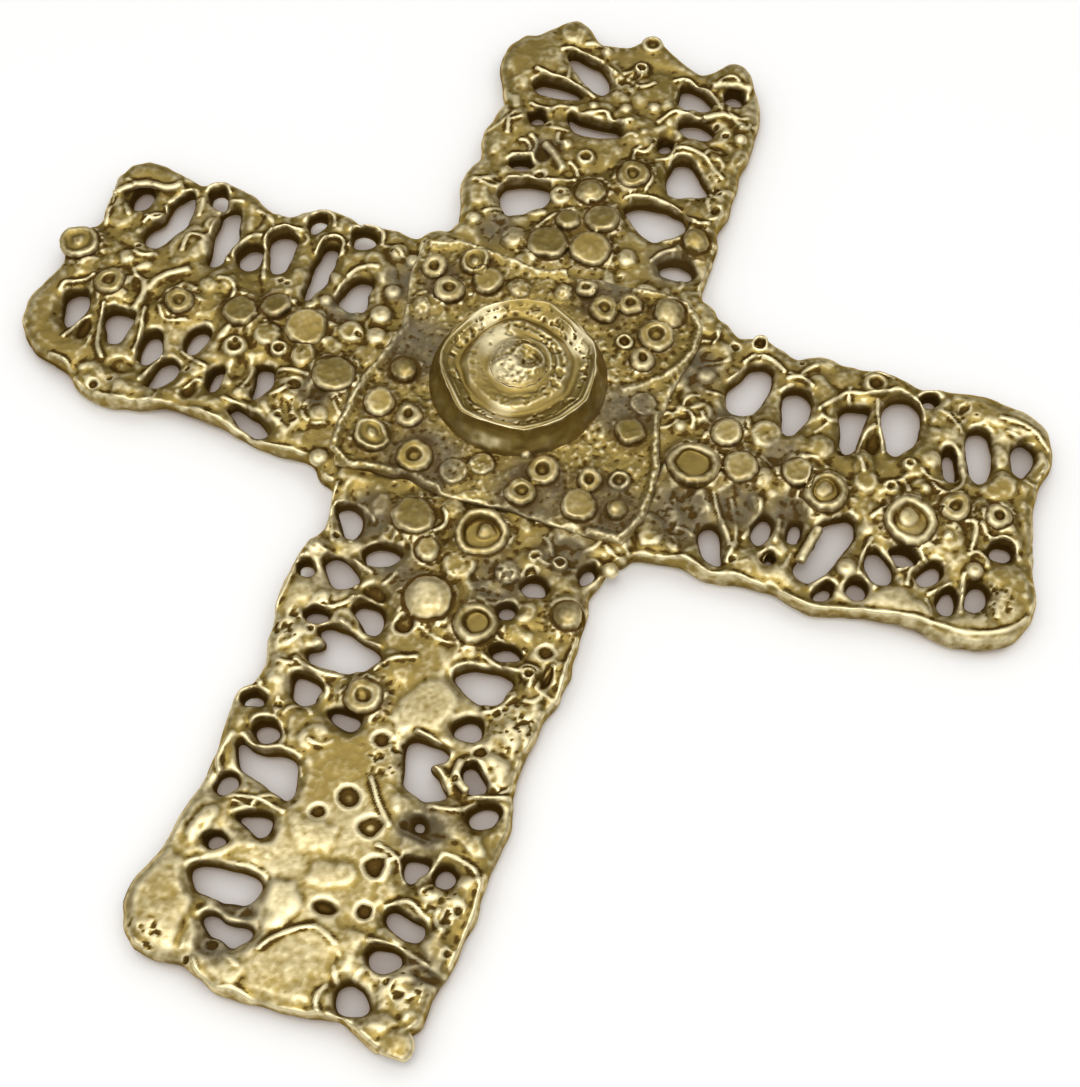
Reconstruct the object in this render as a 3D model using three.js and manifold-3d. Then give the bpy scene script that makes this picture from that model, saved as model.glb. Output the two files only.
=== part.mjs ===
// A wall cross in the manner of West African lost-wax brass: openwork arms built up from strands,
// a plaque over the crossing with a turned boss, and pellets and rings laid on everywhere.
// Millimetres, +Z up the cross, front towards -Y, origin on the back at the middle of the crossing.

import * as THREE from "three";
import { mergeVertices } from "three/addons/utils/BufferGeometryUtils.js";
import Module from "manifold-3d";

const wasm = await Module();
wasm.setup();

// Driving dimensions
const BAR_WIDTH = 45; // both bars, edge to edge
const CROSSING_SIDE = 51; // side of the square that the arms grow out of
const UPPER_LENGTH = 51; // each arm, from the crossing to its tip
const LOWER_LENGTH = 82;
const LEFT_LENGTH = 58;
const RIGHT_LENGTH = 61;
const ARM_THICKNESS = 3.4;
const EDGE_ROUND = 0.7; // how far the front edges of the arms and openings are worn back
const LOBE_RADIUS = 3.6; // rounded lump on each corner of the crossing
const LOBE_INSET = 2.7; // from the corner in to the lump's centre
const PLAQUE_THICKNESS = 1.2;
const WIRE_RADIUS = 0.8; // raised line round the plaque
const PLAQUE_ROUND = 0.3; // worn edges of the plaque
const FIT_GAP = 0.3; // between applied pieces that lie side by side

// The strands between the openings are round, so each opening is narrowest halfway through.
const STRAND_ROUND = 0.5; // how much wider an opening is at both faces
const SMALL_OPENING = 14; // area in square millimetres
const CUTTER_PAST = 0.5; // how far a cutter runs out of a face
const OPENING_STEP = 4.4; // longest side of an opening's outline
const ARM_STEP = 3.6; // longest side of an arm's outline
const PLAQUE_STEP = 6;
const WIRE_STEP = 5;

// Pellets and rings: radii of the sizes in use, and how far they stand up
const SEED = 1.8;
const SMALL = 2.1;
const MEDIUM = 2.5;
const LARGE = 2.9;
const GREAT = 3.5;
const WIDEST = 4.2;
const PELLET_HEIGHT = 1.4;
const PELLET_ROUND = 0.45;
const PIT_SHARE = 0.45; // radius of a ring's pit, of the ring's own
const PIT_DEPTH = 0.8;
const CUP_WALL = 1.2;

// Boss
const BOSS_CENTRE = [-0.6, 0.4];
const BOSS_FOOT_RADIUS = 14.6;
const BOSS_RIM_RADIUS = 12.9;
const BOSS_BORE_RADIUS = 9.7;
const BOSS_HEIGHT = 5.4; // above the plaque
const BOSS_LIP = 0.9;
const LIP_ROUND = 0.2; // fall of the lip to each side
const FLANK_HOLLOW = 0.3; // how far the flank is drawn in halfway up
const GROOVE_HEIGHT = 4.2; // floor of the groove inside the lip, above the plaque
const GROOVE_SLOPE = 0.7;
const DISC_HEIGHT = 4.9;
const DISC_BAND = 3; // raised border of the disc
const DISC_SLOPE = 0.8; // from the border down into the channel
const DISC_ROUND = 0.6; // worn outer edge of the border
const DISC_FLOOR = 3.9; // height of the channel inside the border
const BUTTON_RADIUS = 4.6;
const BUTTON_HEIGHT = 1.8; // above the channel
const CRATER_DEPTH = 0.8; // in the button's middle

// Hanging eye
const EYE_WIRE_RADIUS = 1;
const EYE_SPAN = 10; // between the centres of its feet
const EYE_REACH = 5.8; // from the back of the arm to the middle of the bar
const EYE_BEND = 2.4;
const EYE_FOOT_RADIUS = 1.9;
const EYE_FOOT_HEIGHT = 0.8;
const EYE_ABOVE_CROSSING = 36;

// The pattern was drawn on squared paper, whose squares are one millimetre at the nominal sizes.
const SQUARES_ACROSS = 45;
const SQUARES_CROSSING = 51;
const SQUARES_UPPER = 51;
const SQUARES_LOWER = 82;
const SQUARES_LEFT = 58;
const SQUARES_RIGHT = 61;

const HALF_CROSSING = CROSSING_SIDE / 2;
const HALF_SQUARES = SQUARES_CROSSING / 2;
const PLAQUE_FRONT = ARM_THICKNESS + PLAQUE_THICKNESS;

const brass = (color, roughness) =>
  new THREE.MeshStandardMaterial({ color, roughness, metalness: 1 });
const FINISH = {
  arm: brass(0x96803f, 0.42),
  plaque: brass(0x7d6c3c, 0.5),
  pellet: brass(0xa8914c, 0.36),
  boss: brass(0x8a7434, 0.38),
  eye: brass(0x7a6834, 0.45),
};

// Along an arm, a drawn place beyond the crossing is stretched to the arm's own length.
function along(squares, length, squaresLong) {
  const beyond = Math.max(0, Math.abs(squares) - HALF_SQUARES);
  const inside = Math.abs(squares) - beyond;
  const run =
    (inside * CROSSING_SIDE) / SQUARES_CROSSING +
    (beyond * length) / squaresLong;
  return Math.sign(squares) * run;
}

// A drawn place on the cross, as millimetres from its middle.
function place([x, z]) {
  const upright = Math.abs(z) > Math.abs(x);
  const across = BAR_WIDTH / SQUARES_ACROSS;
  if (Math.max(Math.abs(x), Math.abs(z)) <= HALF_SQUARES) {
    const side = CROSSING_SIDE / SQUARES_CROSSING;
    return [x * side, z * side];
  }
  if (upright && z > 0)
    return [x * across, along(z, UPPER_LENGTH, SQUARES_UPPER)];
  if (upright) return [x * across, along(z, LOWER_LENGTH, SQUARES_LOWER)];
  if (x < 0) return [along(x, LEFT_LENGTH, SQUARES_LEFT), z * across];
  return [along(x, RIGHT_LENGTH, SQUARES_RIGHT), z * across];
}

// Solids

// Turns a geometry drawn in the XY plane to face the front: drawn Y becomes Z, drawn Z becomes -Y.
const STAND = new THREE.Matrix4().set(
  ...[1, 0, 0, 0],
  ...[0, 0, -1, 0],
  ...[0, 1, 0, 0],
  ...[0, 0, 0, 1],
);

function solid(geometry) {
  geometry.deleteAttribute("normal");
  geometry.deleteAttribute("uv");
  const merged = mergeVertices(geometry, 1e-4);
  return new wasm.Manifold(
    new wasm.Mesh({
      numProp: 3,
      vertProperties: merged.attributes.position.array,
      triVerts: new Uint32Array(merged.index.array),
    }),
  );
}

function geometryOf(shape) {
  const mesh = shape.getMesh();
  const geometry = new THREE.BufferGeometry();
  geometry.setAttribute(
    "position",
    new THREE.BufferAttribute(mesh.vertProperties, 3),
  );
  geometry.setIndex(new THREE.BufferAttribute(mesh.triVerts, 1));
  const faceted = geometry.toNonIndexed();
  faceted.computeVertexNormals();
  return faceted;
}

// A closed curve through drawn points, as evenly spaced points about `spacing` apart.
function outline(points, spacing) {
  const path = points.map((p) => new THREE.Vector3(...place(p), 0));
  const curve = new THREE.CatmullRomCurve3(path, true, "centripetal");
  const count = Math.round(curve.getLength() / spacing);
  return curve
    .getSpacedPoints(count)
    .slice(0, count)
    .map((p) => new THREE.Vector2(p.x, p.y));
}

// A slab of the outline, from `back` to `front` millimetres in front of the origin's plane.
function slab(points, back, front, round, grow = 0) {
  const options = {
    depth: front - back - 2 * round,
    bevelEnabled: true,
    bevelThickness: round,
    bevelSize: round,
    bevelOffset: grow - round,
    bevelSegments: 1,
  };
  const geometry = new THREE.ExtrudeGeometry(new THREE.Shape(points), options);
  geometry.translate(0, 0, back + round);
  return solid(geometry.applyMatrix4(STAND));
}

function box(low, high) {
  const size = high.map((v, i) => v - low[i]);
  const geometry = new THREE.BoxGeometry(...size);
  return solid(geometry.translate(...low.map((v, i) => v + size[i] / 2)));
}

// A body made of rings of points, each ring joined to the next, with a fan over both ends.
function loft(rings) {
  const count = rings[0].length;
  const positions = rings.flat(2);
  const index = [];
  for (let r = 0; r + 1 < rings.length; r += 1) {
    for (let i = 0; i < count; i += 1) {
      const a = r * count + i;
      const b = r * count + ((i + 1) % count);
      index.push(a, a + count, b, b, a + count, b + count);
    }
  }
  for (const [ring, turn] of [
    [0, false],
    [rings.length - 1, true],
  ]) {
    const start = ring * count;
    for (let i = 1; i + 1 < count; i += 1)
      index.push(
        start,
        ...(turn
          ? [start + i + 1, start + i]
          : [start + i, start + i + 1]),
      );
  }
  const geometry = new THREE.BufferGeometry();
  geometry.setAttribute(
    "position",
    new THREE.Float32BufferAttribute(positions, 3),
  );
  geometry.setIndex(index);
  return solid(geometry);
}

// Drawn places from a line of text, such as "1,2 3,4".
function drawn(line) {
  return line.split(" ").map((pair) => pair.split(",").map(Number));
}

// A smooth closed outline that keeps its drawn corners and is divided where they lie far apart.
function holeOutline(line) {
  const corners = drawn(line).map((p) => new THREE.Vector3(...place(p), 0));
  const curve = new THREE.CatmullRomCurve3(corners, true, "centripetal");
  const sides = corners.length;
  return corners.flatMap((corner, i) => {
    const next = corners[(i + 1) % sides];
    const count = Math.max(1, Math.round(corner.distanceTo(next) / OPENING_STEP));
    return Array.from({ length: count }, (_, k) =>
      curve.getPoint((i + k / count) / sides),
    );
  });
}

// The outline moved outwards, or onto itself where `grow` is 0.
function grown(points, grow) {
  const sense = Math.sign(THREE.ShapeUtils.area(points));
  return points.map((p, i) => {
    const before = points.at(i - 1);
    const after = points[(i + 1) % points.length];
    const along = after.clone().sub(before).normalize();
    return [p.x + sense * grow * along.y, p.y - sense * grow * along.x];
  });
}

// The cutter of one opening, running out of both faces of the arm. A large one is narrowest
// halfway through, as between round strands. A small one tapers straight to the back.
function opening(line) {
  const points = holeOutline(line);
  if (THREE.ShapeUtils.area(points) < 0) points.reverse();
  const half = ARM_THICKNESS / 2;
  const wide = STRAND_ROUND * (1 + CUTTER_PAST / half);
  const ring = (grow, y) => grown(points, grow).map(([x, z]) => [x, y, z]);
  const front = ring(wide, -ARM_THICKNESS - CUTTER_PAST);
  if (THREE.ShapeUtils.area(points) < SMALL_OPENING) {
    return loft([front, ring(0, CUTTER_PAST)]);
  }
  return loft([front, ring(0, -half), ring(wide, CUTTER_PAST)]);
}

// A bead of metal along drawn points on a face `level` in front of the origin's plane.
function bead(points, radius, level, sides = 5) {
  const path = new THREE.CatmullRomCurve3(
    points.map((p) => {
      const [x, z] = place(p);
      return new THREE.Vector3(x, -level, z);
    }),
  );
  const section = new THREE.Shape(
    Array.from({ length: sides }, (_, i) => {
      const t = (2 * Math.PI * i) / sides;
      return new THREE.Vector2(radius * Math.cos(t), radius * Math.sin(t));
    }),
  );
  const steps = Math.max(3, Math.round(path.getLength() / WIRE_STEP));
  return solid(
    new THREE.ExtrudeGeometry(section, {
      steps,
      bevelEnabled: false,
      extrudePath: path,
    }),
  );
}

// A turned solid on the axis -Y from its seat, cut from a profile of [radius, height] pairs
// that starts on the axis at the front and ends on it at the seat, or closes on itself.
function turned(profile, segments) {
  const points = profile.map(([r, h]) => new THREE.Vector2(r, -h));
  return solid(new THREE.LatheGeometry(points, segments));
}

// Applied pieces, drawn as profiles in shares of their radius and height. Each takes how much it
// is grown, so that a neighbour can be cut clear of it.
const PIECE = {
  disc: (r, h, g) => [
    [0, h + g],
    [r - PELLET_ROUND + g, h + g],
    [r + g, h - PELLET_ROUND],
    [r + g, 0],
    [0, 0],
  ],
  dome: (r, h, g) => [
    [0, h * 1.25 + g],
    [r * 0.5 + g, h * 1.12 + g],
    [r * 0.85 + g, h * 0.7 + g],
    [r + g, 0],
    [0, 0],
  ],
  ring: (r, h, g) => [
    [0, g ? h + g : h - PIT_DEPTH],
    [r * PIT_SHARE * 0.7, g ? h + g : h - PIT_DEPTH],
    [r * PIT_SHARE, h + g],
    [r - PELLET_ROUND + g, h + g],
    [r + g, h - PELLET_ROUND],
    [r + g, 0],
    [0, 0],
  ],
  pip: (r, h, g) => [
    [0, h + g],
    [r * 0.2, g ? h + g : h],
    [r * 0.35, g ? h + g : h - PIT_DEPTH / 2],
    [r * 0.6, g ? h + g : h - PIT_DEPTH / 2],
    [r * 0.75, h + g],
    [r - PELLET_ROUND / 2 + g, h + g],
    [r + g, h - PELLET_ROUND],
    [r + g, 0],
    [0, 0],
  ],
  cup: (r, h, g) => [
    [0, g ? h + g : h * 0.35],
    [r - CUP_WALL - 0.3, g ? h + g : h * 0.35],
    [r - CUP_WALL, h * 1.1 + g],
    [r - CUP_WALL / 2 + g, h * 1.25 + g],
    [r + g, h * 0.9],
    [r + g, 0],
    [0, 0],
  ],
};

function applied(kind, radius, grow) {
  const segments = radius >= GREAT ? 14 : radius > SMALL ? 12 : 10;
  return turned(PIECE[kind](radius, PELLET_HEIGHT, grow), segments);
}

// The arms

const UPPER = {
  edge: [
    [-22.3, 22],
    [-21.8, 28],
    [-21.5, 31],
    [-23, 34.5],
    [-23.9, 38],
    [-22, 42.8],
    [-23.8, 48],
    [-23.4, 52],
    [-21.5, 55.5],
    [-25, 61],
    [-26, 66],
    [-25.4, 71],
    [-20, 74.2],
    [-18, 77.3],
    [-15.3, 78.3],
    [-12.6, 77.2],
    [-11.3, 75],
    [-7, 75],
    [-3.5, 77],
    [-1.3, 78.8],
    [1, 77.6],
    [5, 75.2],
    [8, 73.3],
    [11.8, 76.4],
    [14.5, 77.6],
    [17, 76.5],
    [18.8, 73.5],
    [21.7, 67.5],
    [21.8, 60],
    [22, 50],
    [22.6, 46],
    [21, 41.5],
    [22.5, 37],
    [22.4, 28],
    [22.4, 22],
  ],
  openings: [
    "-15.6,39 -8.6,40.6 -8,37.9 -9.5,35.9 -11.5,33.9 -13.8,32.9 -15.3,34.2 -16.3,36.8",
    "5.2,40.4 7.2,42 11.8,42.5 14.6,42 16,40.4 15.6,38.5 13.9,36.7 11.8,35.8 9.5,36 7.9,37.1",
    "9.9,50.6 10.6,53.4 11.9,53.8 16.4,49.7 17.8,48.1 17,47.3 14.5,47.2 12.6,46 11.2,46.2 10.3,48.2",
    "-14.9,70 -13.5,70.6 -8.7,69 -6.6,66.9 -5.7,64.6 -6.3,62.9 -8.8,64.3 -11,65.8 -13,67.6",
    "-17.9,62.6 -14.4,63.4 -10.6,62.6 -9.4,61.6 -12.4,60.7 -17.2,60.1 -18.6,61.4",
    "6.5,69.4 8,69.8 10.4,69.2 12.6,67.2 11.8,65.9 8.4,64.7 7,65.7",
    "14.6,70 15.6,71.3 17.2,70.8 17.5,69.2 16.6,68.2 15,68.4",
    "8.6,61.2 9.6,62.3 12.2,62.6 15,60.8 13.6,59.8 10.4,59.4 8.9,59.9",
    "-16.8,55 -15.9,56 -14.4,55.4 -14.2,54 -15.4,53.4 -16.6,53.8",
    "-10.7,57.1 -8.2,56.3 -1.6,56.5 -0.7,55.2 -3.4,53.9 -7.4,53.9 -9.6,55",
    "6.3,56.2 7.4,57.4 8.5,56.4 8.2,54.8 7,54.4",
    "-16.8,43.8 -15.4,44.9 -13.8,45.1 -12.9,43.9 -14,42.9 -15.9,42.7",
    "13.8,31 15.4,32.4 18.6,32.2 20,30.8 18.6,29.8 15.4,29.6",
  ],
};

const LEFT = {
  edge: [
    [-22, 22.5],
    [-27, 23.8],
    [-31, 24],
    [-35.5, 23.3],
    [-41, 24.5],
    [-45.7, 23.1],
    [-48.5, 20.8],
    [-51.3, 20.3],
    [-57, 23.3],
    [-63.5, 23.8],
    [-67, 22.5],
    [-74, 24.8],
    [-78, 23.7],
    [-80.3, 17.5],
    [-78.6, 9.5],
    [-82, 6.8],
    [-83.3, 3.8],
    [-81.2, -0.5],
    [-83.5, -7],
    [-83.3, -12],
    [-79, -17.8],
    [-71.5, -20],
    [-68, -23],
    [-60, -23.5],
    [-52.7, -20.9],
    [-44.7, -21.6],
    [-36, -23.4],
    [-29, -23.5],
    [-22, -22.5],
  ],
  openings: [
    "-75.8,16.4 -75.2,18.4 -73.8,19 -72.7,17.4 -73.1,15 -74,13.7 -75.1,14.7",
    "-66.5,20.4 -65.1,16.9 -65.1,13.4 -67.2,8.1 -68.9,7.4 -70.6,9 -70.2,11.2 -68.4,13.4 -68.2,17.8",
    "-63.4,21.3 -62.2,22.2 -61,21.7 -60.2,20 -59.6,18.9 -60.8,18.5 -62.6,19.2",
    "-59.6,17.6 -58.5,19.4 -57.4,18.8 -55.7,14.4 -55.7,11.6 -56,8.1 -56.8,6.6 -57.8,7.1 -59.2,12.8",
    "-53.8,10.9 -53.2,12.6 -52,13.2 -50.8,12.6 -50.1,10.9 -50.4,8.9 -51.5,8.1 -52.9,8.8",
    "-49.9,15.4 -49.5,16.6 -47.5,17.2 -45.4,16.6 -45.4,10.2 -46.7,9.2 -47.9,10 -49,12.6",
    "-44.7,21.2 -43.9,22.3 -42.7,22.4 -42.5,21 -43.7,18.3 -44.5,19.6",
    "-40.6,16.8 -39.4,17.4 -38.4,16.8 -38.2,11 -38.9,5.4 -40.1,5.4 -40.6,9",
    "-37,20.6 -36.2,21.7 -34.3,21.8 -33.2,20.8 -33.3,19.6 -35.1,18.1 -36.4,18.6",
    "-34.6,6.8 -33.6,11.4 -32.4,12.3 -30.7,12.5 -30.3,11.2 -30.8,9.8 -30,8.7 -29.9,6.2 -32.4,5.8",
    "-77.5,-6.8 -76.8,-5.2 -74.8,-4.9 -73.5,-6.4 -74.6,-10.5 -75.3,-12.2 -76.1,-10.8",
    "-69.9,-7.8 -69.5,-6.6 -67.5,-6.1 -65.4,-6.3 -65.8,-11.8 -66.5,-13 -67.9,-12.4",
    "-61.9,-10.6 -61.2,-8.8 -59.9,-8.7 -58.7,-10.8 -58.8,-13.2 -59.8,-14.8 -60.8,-14.6",
    "-57.9,-15.4 -57.4,-13.5 -56.4,-12.6 -54.5,-13.6 -54.8,-15.4 -56.6,-18.3 -58.2,-19.2",
    "-55.1,-8.1 -54.9,-6.6 -53.9,-5.3 -52.6,-5.6 -52.6,-7.8 -53.3,-10.3 -54.5,-10.5",
    "-41.8,-10.4 -42,-9.1 -39.4,-9 -39,-13.1 -40,-15.6 -40.9,-15.6",
    "-43.5,-18.6 -42.8,-17.6 -38.3,-18.8 -36.3,-20 -35.8,-21.2 -37.3,-21.6 -40,-21",
    "-48.9,-12.4 -48,-11.4 -47.2,-12.6 -47.2,-15 -47.8,-16.2 -48.7,-15.4",
  ],
};

const RIGHT = {
  edge: [
    [22, 22.4],
    [27.4, 24],
    [30.5, 21.3],
    [35, 22.6],
    [40, 20.2],
    [45.4, 22.5],
    [48.6, 21.2],
    [53, 22.1],
    [59, 22],
    [61, 21],
    [68.2, 22.7],
    [76.1, 22.4],
    [82, 20.3],
    [84.6, 15],
    [83.4, 7],
    [85.1, -3.3],
    [87.4, -13],
    [85.1, -19.3],
    [77, -22.6],
    [68.5, -21.2],
    [61.6, -22.2],
    [55, -24],
    [47.1, -22.4],
    [37.9, -23.6],
    [32.5, -22.4],
    [27, -23.6],
    [22, -22.6],
  ],
  openings: [
    "32.2,8.8 31.7,11.1 33,13.5 34.4,16.2 36.2,16.7 37.6,16.5 38,14 36.9,7.7 35.1,6.8 33,7",
    "41,11 41.1,13 42.3,14.2 44.3,13.6 45.1,12 45,8.6 44,5.9 43.3,5 42.6,6.3 41.9,8.2",
    "50.1,12 50.5,13.3 54.6,14.5 54,8.9 53.7,5.6 52.6,5.2 51.9,6.8",
    "56.9,13.2 56.9,15.4 57.9,17.2 60.4,17.7 61.7,16.9 62.6,15 62.8,11.2 60.8,7.2 59.4,7.4",
    "70.7,13.3 70.9,15.1 72,16 73.6,15.7 75.2,10.8 75.2,7.4 74.5,6.3 73.2,7 71.4,11.4",
    "67.8,10.2 68.4,11 69.5,10.2 70.5,5.6 69.2,5.2 68.9,7.1",
    "78,13.6 78.2,15.3 79.5,16.1 81.2,15.1 81.6,13 80.5,9.2 79.5,9.9",
    "62.3,18.8 63,19.7 63.9,19.4 64,17.9 63.1,17.5",
    "34.9,-17.2 35.1,-15.3 36.2,-14.5 37.6,-15.3 39.5,-20.4 38.7,-21.2 36.9,-20.5",
    "42.8,-12.9 43.1,-10.9 44,-9.9 45.1,-10.4 44.9,-14.1 44,-15.3 43,-14.8",
    "48,-11.8 48.3,-9.4 49.5,-9.4 49.3,-12.2 49,-13.7 48.1,-13.3",
    "52.4,-9.1 55.9,-5.9 57.4,-6.6 57.9,-8.9 55.5,-15.8 53.3,-19.2 51.6,-18.5 50.5,-17.3 52.6,-12.5",
    "78.6,-4 79.6,-3.2 81.4,-3.4 82,-4.6 80.6,-5.6 79,-5.4",
    "77.1,-13.6 77.3,-12 78.6,-11.1 79.6,-12.1 79.6,-14.8 78.7,-16.4 77.7,-16",
    "72.9,-16.1 73.3,-14.5 74.4,-13.3 75.5,-15.2 75.5,-16.8 74.3,-17.6 73.2,-17.3",
    "68.7,-13.2 69.5,-11.4 70.5,-9.8 72.1,-10 72.1,-11.5 71.2,-13.3 70,-14.2",
    "60.4,-13.3 60.6,-11.4 61.9,-10.5 63.6,-12.1 65.1,-14 64.9,-15.7 63.6,-16 61.9,-15",
    "59.3,-18 59.6,-16.9 61.1,-16.6 62,-17.4 61.7,-19.1 60.4,-19.8 59.5,-19.2",
    "54.6,-20.5 55.3,-19.6 56.8,-18.4 57.1,-19.3 56.2,-21.2 55.1,-21.7",
    "63.9,-9.8 66.2,-9.3 68.3,-9.8 67.8,-11.3 66.2,-11.7 64.7,-11",
    "45.7,-17.2 46.3,-16.4 46.9,-17.2 46.6,-18.2 45.9,-18.2",
  ],
};

const LOWER = {
  edge: [
    [22.4, -22],
    [23, -29.5],
    [22.3, -33],
    [23.2, -37],
    [22.7, -43],
    [23.7, -47],
    [22.2, -55],
    [21, -64],
    [23.2, -72],
    [21.9, -79],
    [22.5, -84],
    [21.6, -95.5],
    [20.4, -98.5],
    [21, -102.5],
    [18.2, -105.6],
    [17.6, -107.8],
    [15.6, -108.6],
    [13.4, -107.4],
    [11, -106],
    [3, -107],
    [-9, -107.3],
    [-14, -105.3],
    [-20, -106.2],
    [-25.4, -102.2],
    [-26, -97.5],
    [-23.8, -89.5],
    [-24, -86.5],
    [-22.6, -79],
    [-23.2, -67],
    [-23, -63],
    [-20.4, -61.4],
    [-21.4, -57],
    [-23.3, -47],
    [-22.9, -37.5],
    [-21, -34.5],
    [-22, -28],
    [-22.4, -22],
  ],
  openings: [
    "-20.2,-29.6 -17.9,-29.1 -16.2,-29.9 -16,-34.5 -16.8,-34.3 -19.2,-31.9",
    "-13.5,-35.4 -12.3,-34.5 -10.2,-34.2 -7.7,-34.7 -9.4,-36.8 -10.4,-37.6 -12.2,-37.5",
    "-18.9,-39.4 -17.7,-38.3 -15.5,-38.2 -12.4,-40.4 -12.1,-41.2 -15.5,-43.3 -16.6,-42.6",
    "-22.1,-40.6 -20.7,-40.1 -19.8,-41.6 -20.2,-42.6 -21.4,-42.8",
    "-18.2,-48.8 -17.6,-47.8 -16.1,-47.5 -14.8,-47.9 -15,-48.9 -15.7,-49.7 -17.6,-49.7",
    "-13.8,-49.9 -6.4,-50.9 -4.8,-51.9 -6.7,-55.2 -8.6,-56.1 -12.6,-56.4 -14.6,-55.6 " +
      "-15.6,-54.5 -13.9,-54.1 -12.7,-53.1 -13,-52 -14.6,-51.6 -14.8,-50.6",
    "-11.8,-45.9 -10.2,-44.9 -8.4,-44.3 -7,-44.7 -6.5,-45.9 -6.8,-48.6 -8.4,-48.3",
    "19.6,-27.8 20.7,-27.2 21.4,-27.9 21.1,-29.3 20.2,-30.6 19.4,-29.2",
    "11.1,-33.5 12.7,-32.1 14.3,-32.1 15.5,-33.5 15.3,-34.6 12.3,-34.6",
    "9.3,-38.7 9.6,-37.8 11,-37.6 11.8,-38.2 11.8,-39.3 10.4,-39.6",
    "10.5,-45.5 12,-44.5 13.8,-44.3 15,-45 15,-45.9 13.7,-46.5 12,-46.4",
    "7,-51.7 8,-50.2 9.6,-49.4 12.1,-49 16.1,-49.8 15,-52 15,-53.4 13.9,-54 11.6,-54.2 9.5,-53.3",
    "-15.7,-58.4 -14,-58.7 -10.7,-60 -12,-60.7 -12.1,-61.6 -11.4,-62.3 -12.6,-62.9 -14.9,-62.2",
    "-8.9,-62.5 -7,-62.2 -4,-62.4 -4.1,-63.7 -4.9,-64.5 -8,-63.7",
    "-21.8,-64.8 -21,-64.3 -19.6,-63.8 -18.3,-63.8 -18.6,-64.7 -21.4,-65.9",
    "-18.4,-68.7 -17.6,-67.9 -15.8,-67.6 -14.7,-68.3 -14.6,-69.4 -15.5,-70.3 -17,-70.3",
    "-20,-71 -17.3,-72.5 -14.8,-72.4 -13,-71.7 -10.5,-71.7 -9.4,-74 -9.1,-76.4 -9.4,-78 " +
      "-11.4,-77.2 -15.2,-76 -17.8,-75.4",
    "-19.8,-77.6 -18.9,-76.7 -17.6,-77 -17.3,-78 -17.7,-79.1 -18.9,-80.1 -19.8,-79.4",
    "-16.1,-82 -13.8,-81.7 -10.5,-81.1 -10.6,-82.6 -11.2,-84.2 -12,-84.2 -13.4,-83.1",
    "-18.6,-87.3 -18,-86.3 -16.6,-85.8 -15.4,-86.8 -16.3,-87.7 -17.5,-88.1",
    "4.3,-63.7 5.6,-63.1 9.5,-63.1 10.5,-63.9 10.2,-65 8,-66.4 8.2,-67.4 10.2,-67.7 12.7,-70.1 " +
      "9.5,-71.4 5.7,-70.5 5.3,-68.4 4.4,-66.4",
    "12.9,-64.4 14.5,-64.6 17.1,-66.5 17.1,-67.8 15.9,-68.5 14.8,-68.3",
    "9.8,-59.7 10,-58.4 11.2,-57.5 13,-57.2 13.4,-58.6 13.4,-60 12,-60.7 10.5,-60.6",
    "16.4,-71.7 17.1,-70.6 18.7,-69.8 20.7,-69.9 19.8,-72.4 18.4,-73 17.1,-72.8",
    "9.1,-74.9 10.4,-74.4 11,-75.5 9.6,-76.1",
    "15,-81.3 15.4,-80.3 16.5,-80.1 17.6,-81 17.5,-82.1 16.6,-83 15.4,-82.9",
    "10,-80.7 12,-80.5 13.5,-80 13.2,-81.4 11.7,-84.7 11.2,-83.6",
    "-18.6,-91.6 -17.2,-90.9 -15,-90.4 -9,-90.5 -8.1,-91.3 -8.2,-92.9 -8.8,-93.9 -16.6,-94.5 " +
      "-17.7,-93.2",
    "-14.3,-98 -13.4,-97.2 -12.2,-97.2 -11.5,-98 -9.8,-98 -8,-97.4 -6.5,-97.6 -6.8,-99 " +
      "-8.4,-101.3 -10.3,-99.9 -12.7,-99.7",
    "10.1,-89.8 10.7,-88.9 13,-88.9 15.7,-89.3 16.2,-90.7 15.7,-92 13.7,-92.1 11.3,-91.3",
    "9.8,-95.7 10.5,-94.8 12.3,-94.3 14.5,-94.8 14.8,-95.7 12.5,-97.7 10.7,-97.1",
    "7.8,-102.2 8.1,-101 9.6,-100.6 11.4,-101.2 13.1,-102.7 13,-103.8 9.1,-105 8.2,-104",
  ],
};

const FAR = 500; // past everything

function arm(pattern, axis, sign) {
  const sheet = outline(pattern.edge, ARM_STEP);
  let body = slab(sheet, 0, ARM_THICKNESS, EDGE_ROUND);
  for (const line of pattern.openings) body = body.subtract(opening(line));
  const low = [-FAR, -FAR, -FAR];
  const high = [FAR, FAR, FAR];
  if (sign > 0) high[axis] = HALF_CROSSING;
  else low[axis] = -HALF_CROSSING;
  body = body.subtract(box(low, high));
  for (const corner of corners())
    body = body.subtract(lobe(corner, FIT_GAP));
  return body;
}

// The crossing: a square with a lump on each corner, where the wax of two arms was joined.
function corners() {
  return [
    [1, 1],
    [-1, 1],
    [-1, -1],
    [1, -1],
  ];
}

function lobe([sx, sz], grow) {
  const centre = HALF_CROSSING - LOBE_INSET;
  const r = LOBE_RADIUS + grow;
  const past = grow ? 1 : 0;
  const profile = [
    [0, ARM_THICKNESS + past],
    [r - EDGE_ROUND, ARM_THICKNESS + past],
    [r, ARM_THICKNESS - EDGE_ROUND + past],
    [r, -past],
    [0, -past],
  ];
  return turned(profile, 20).translate([sx * centre, 0, sz * centre]);
}

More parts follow.
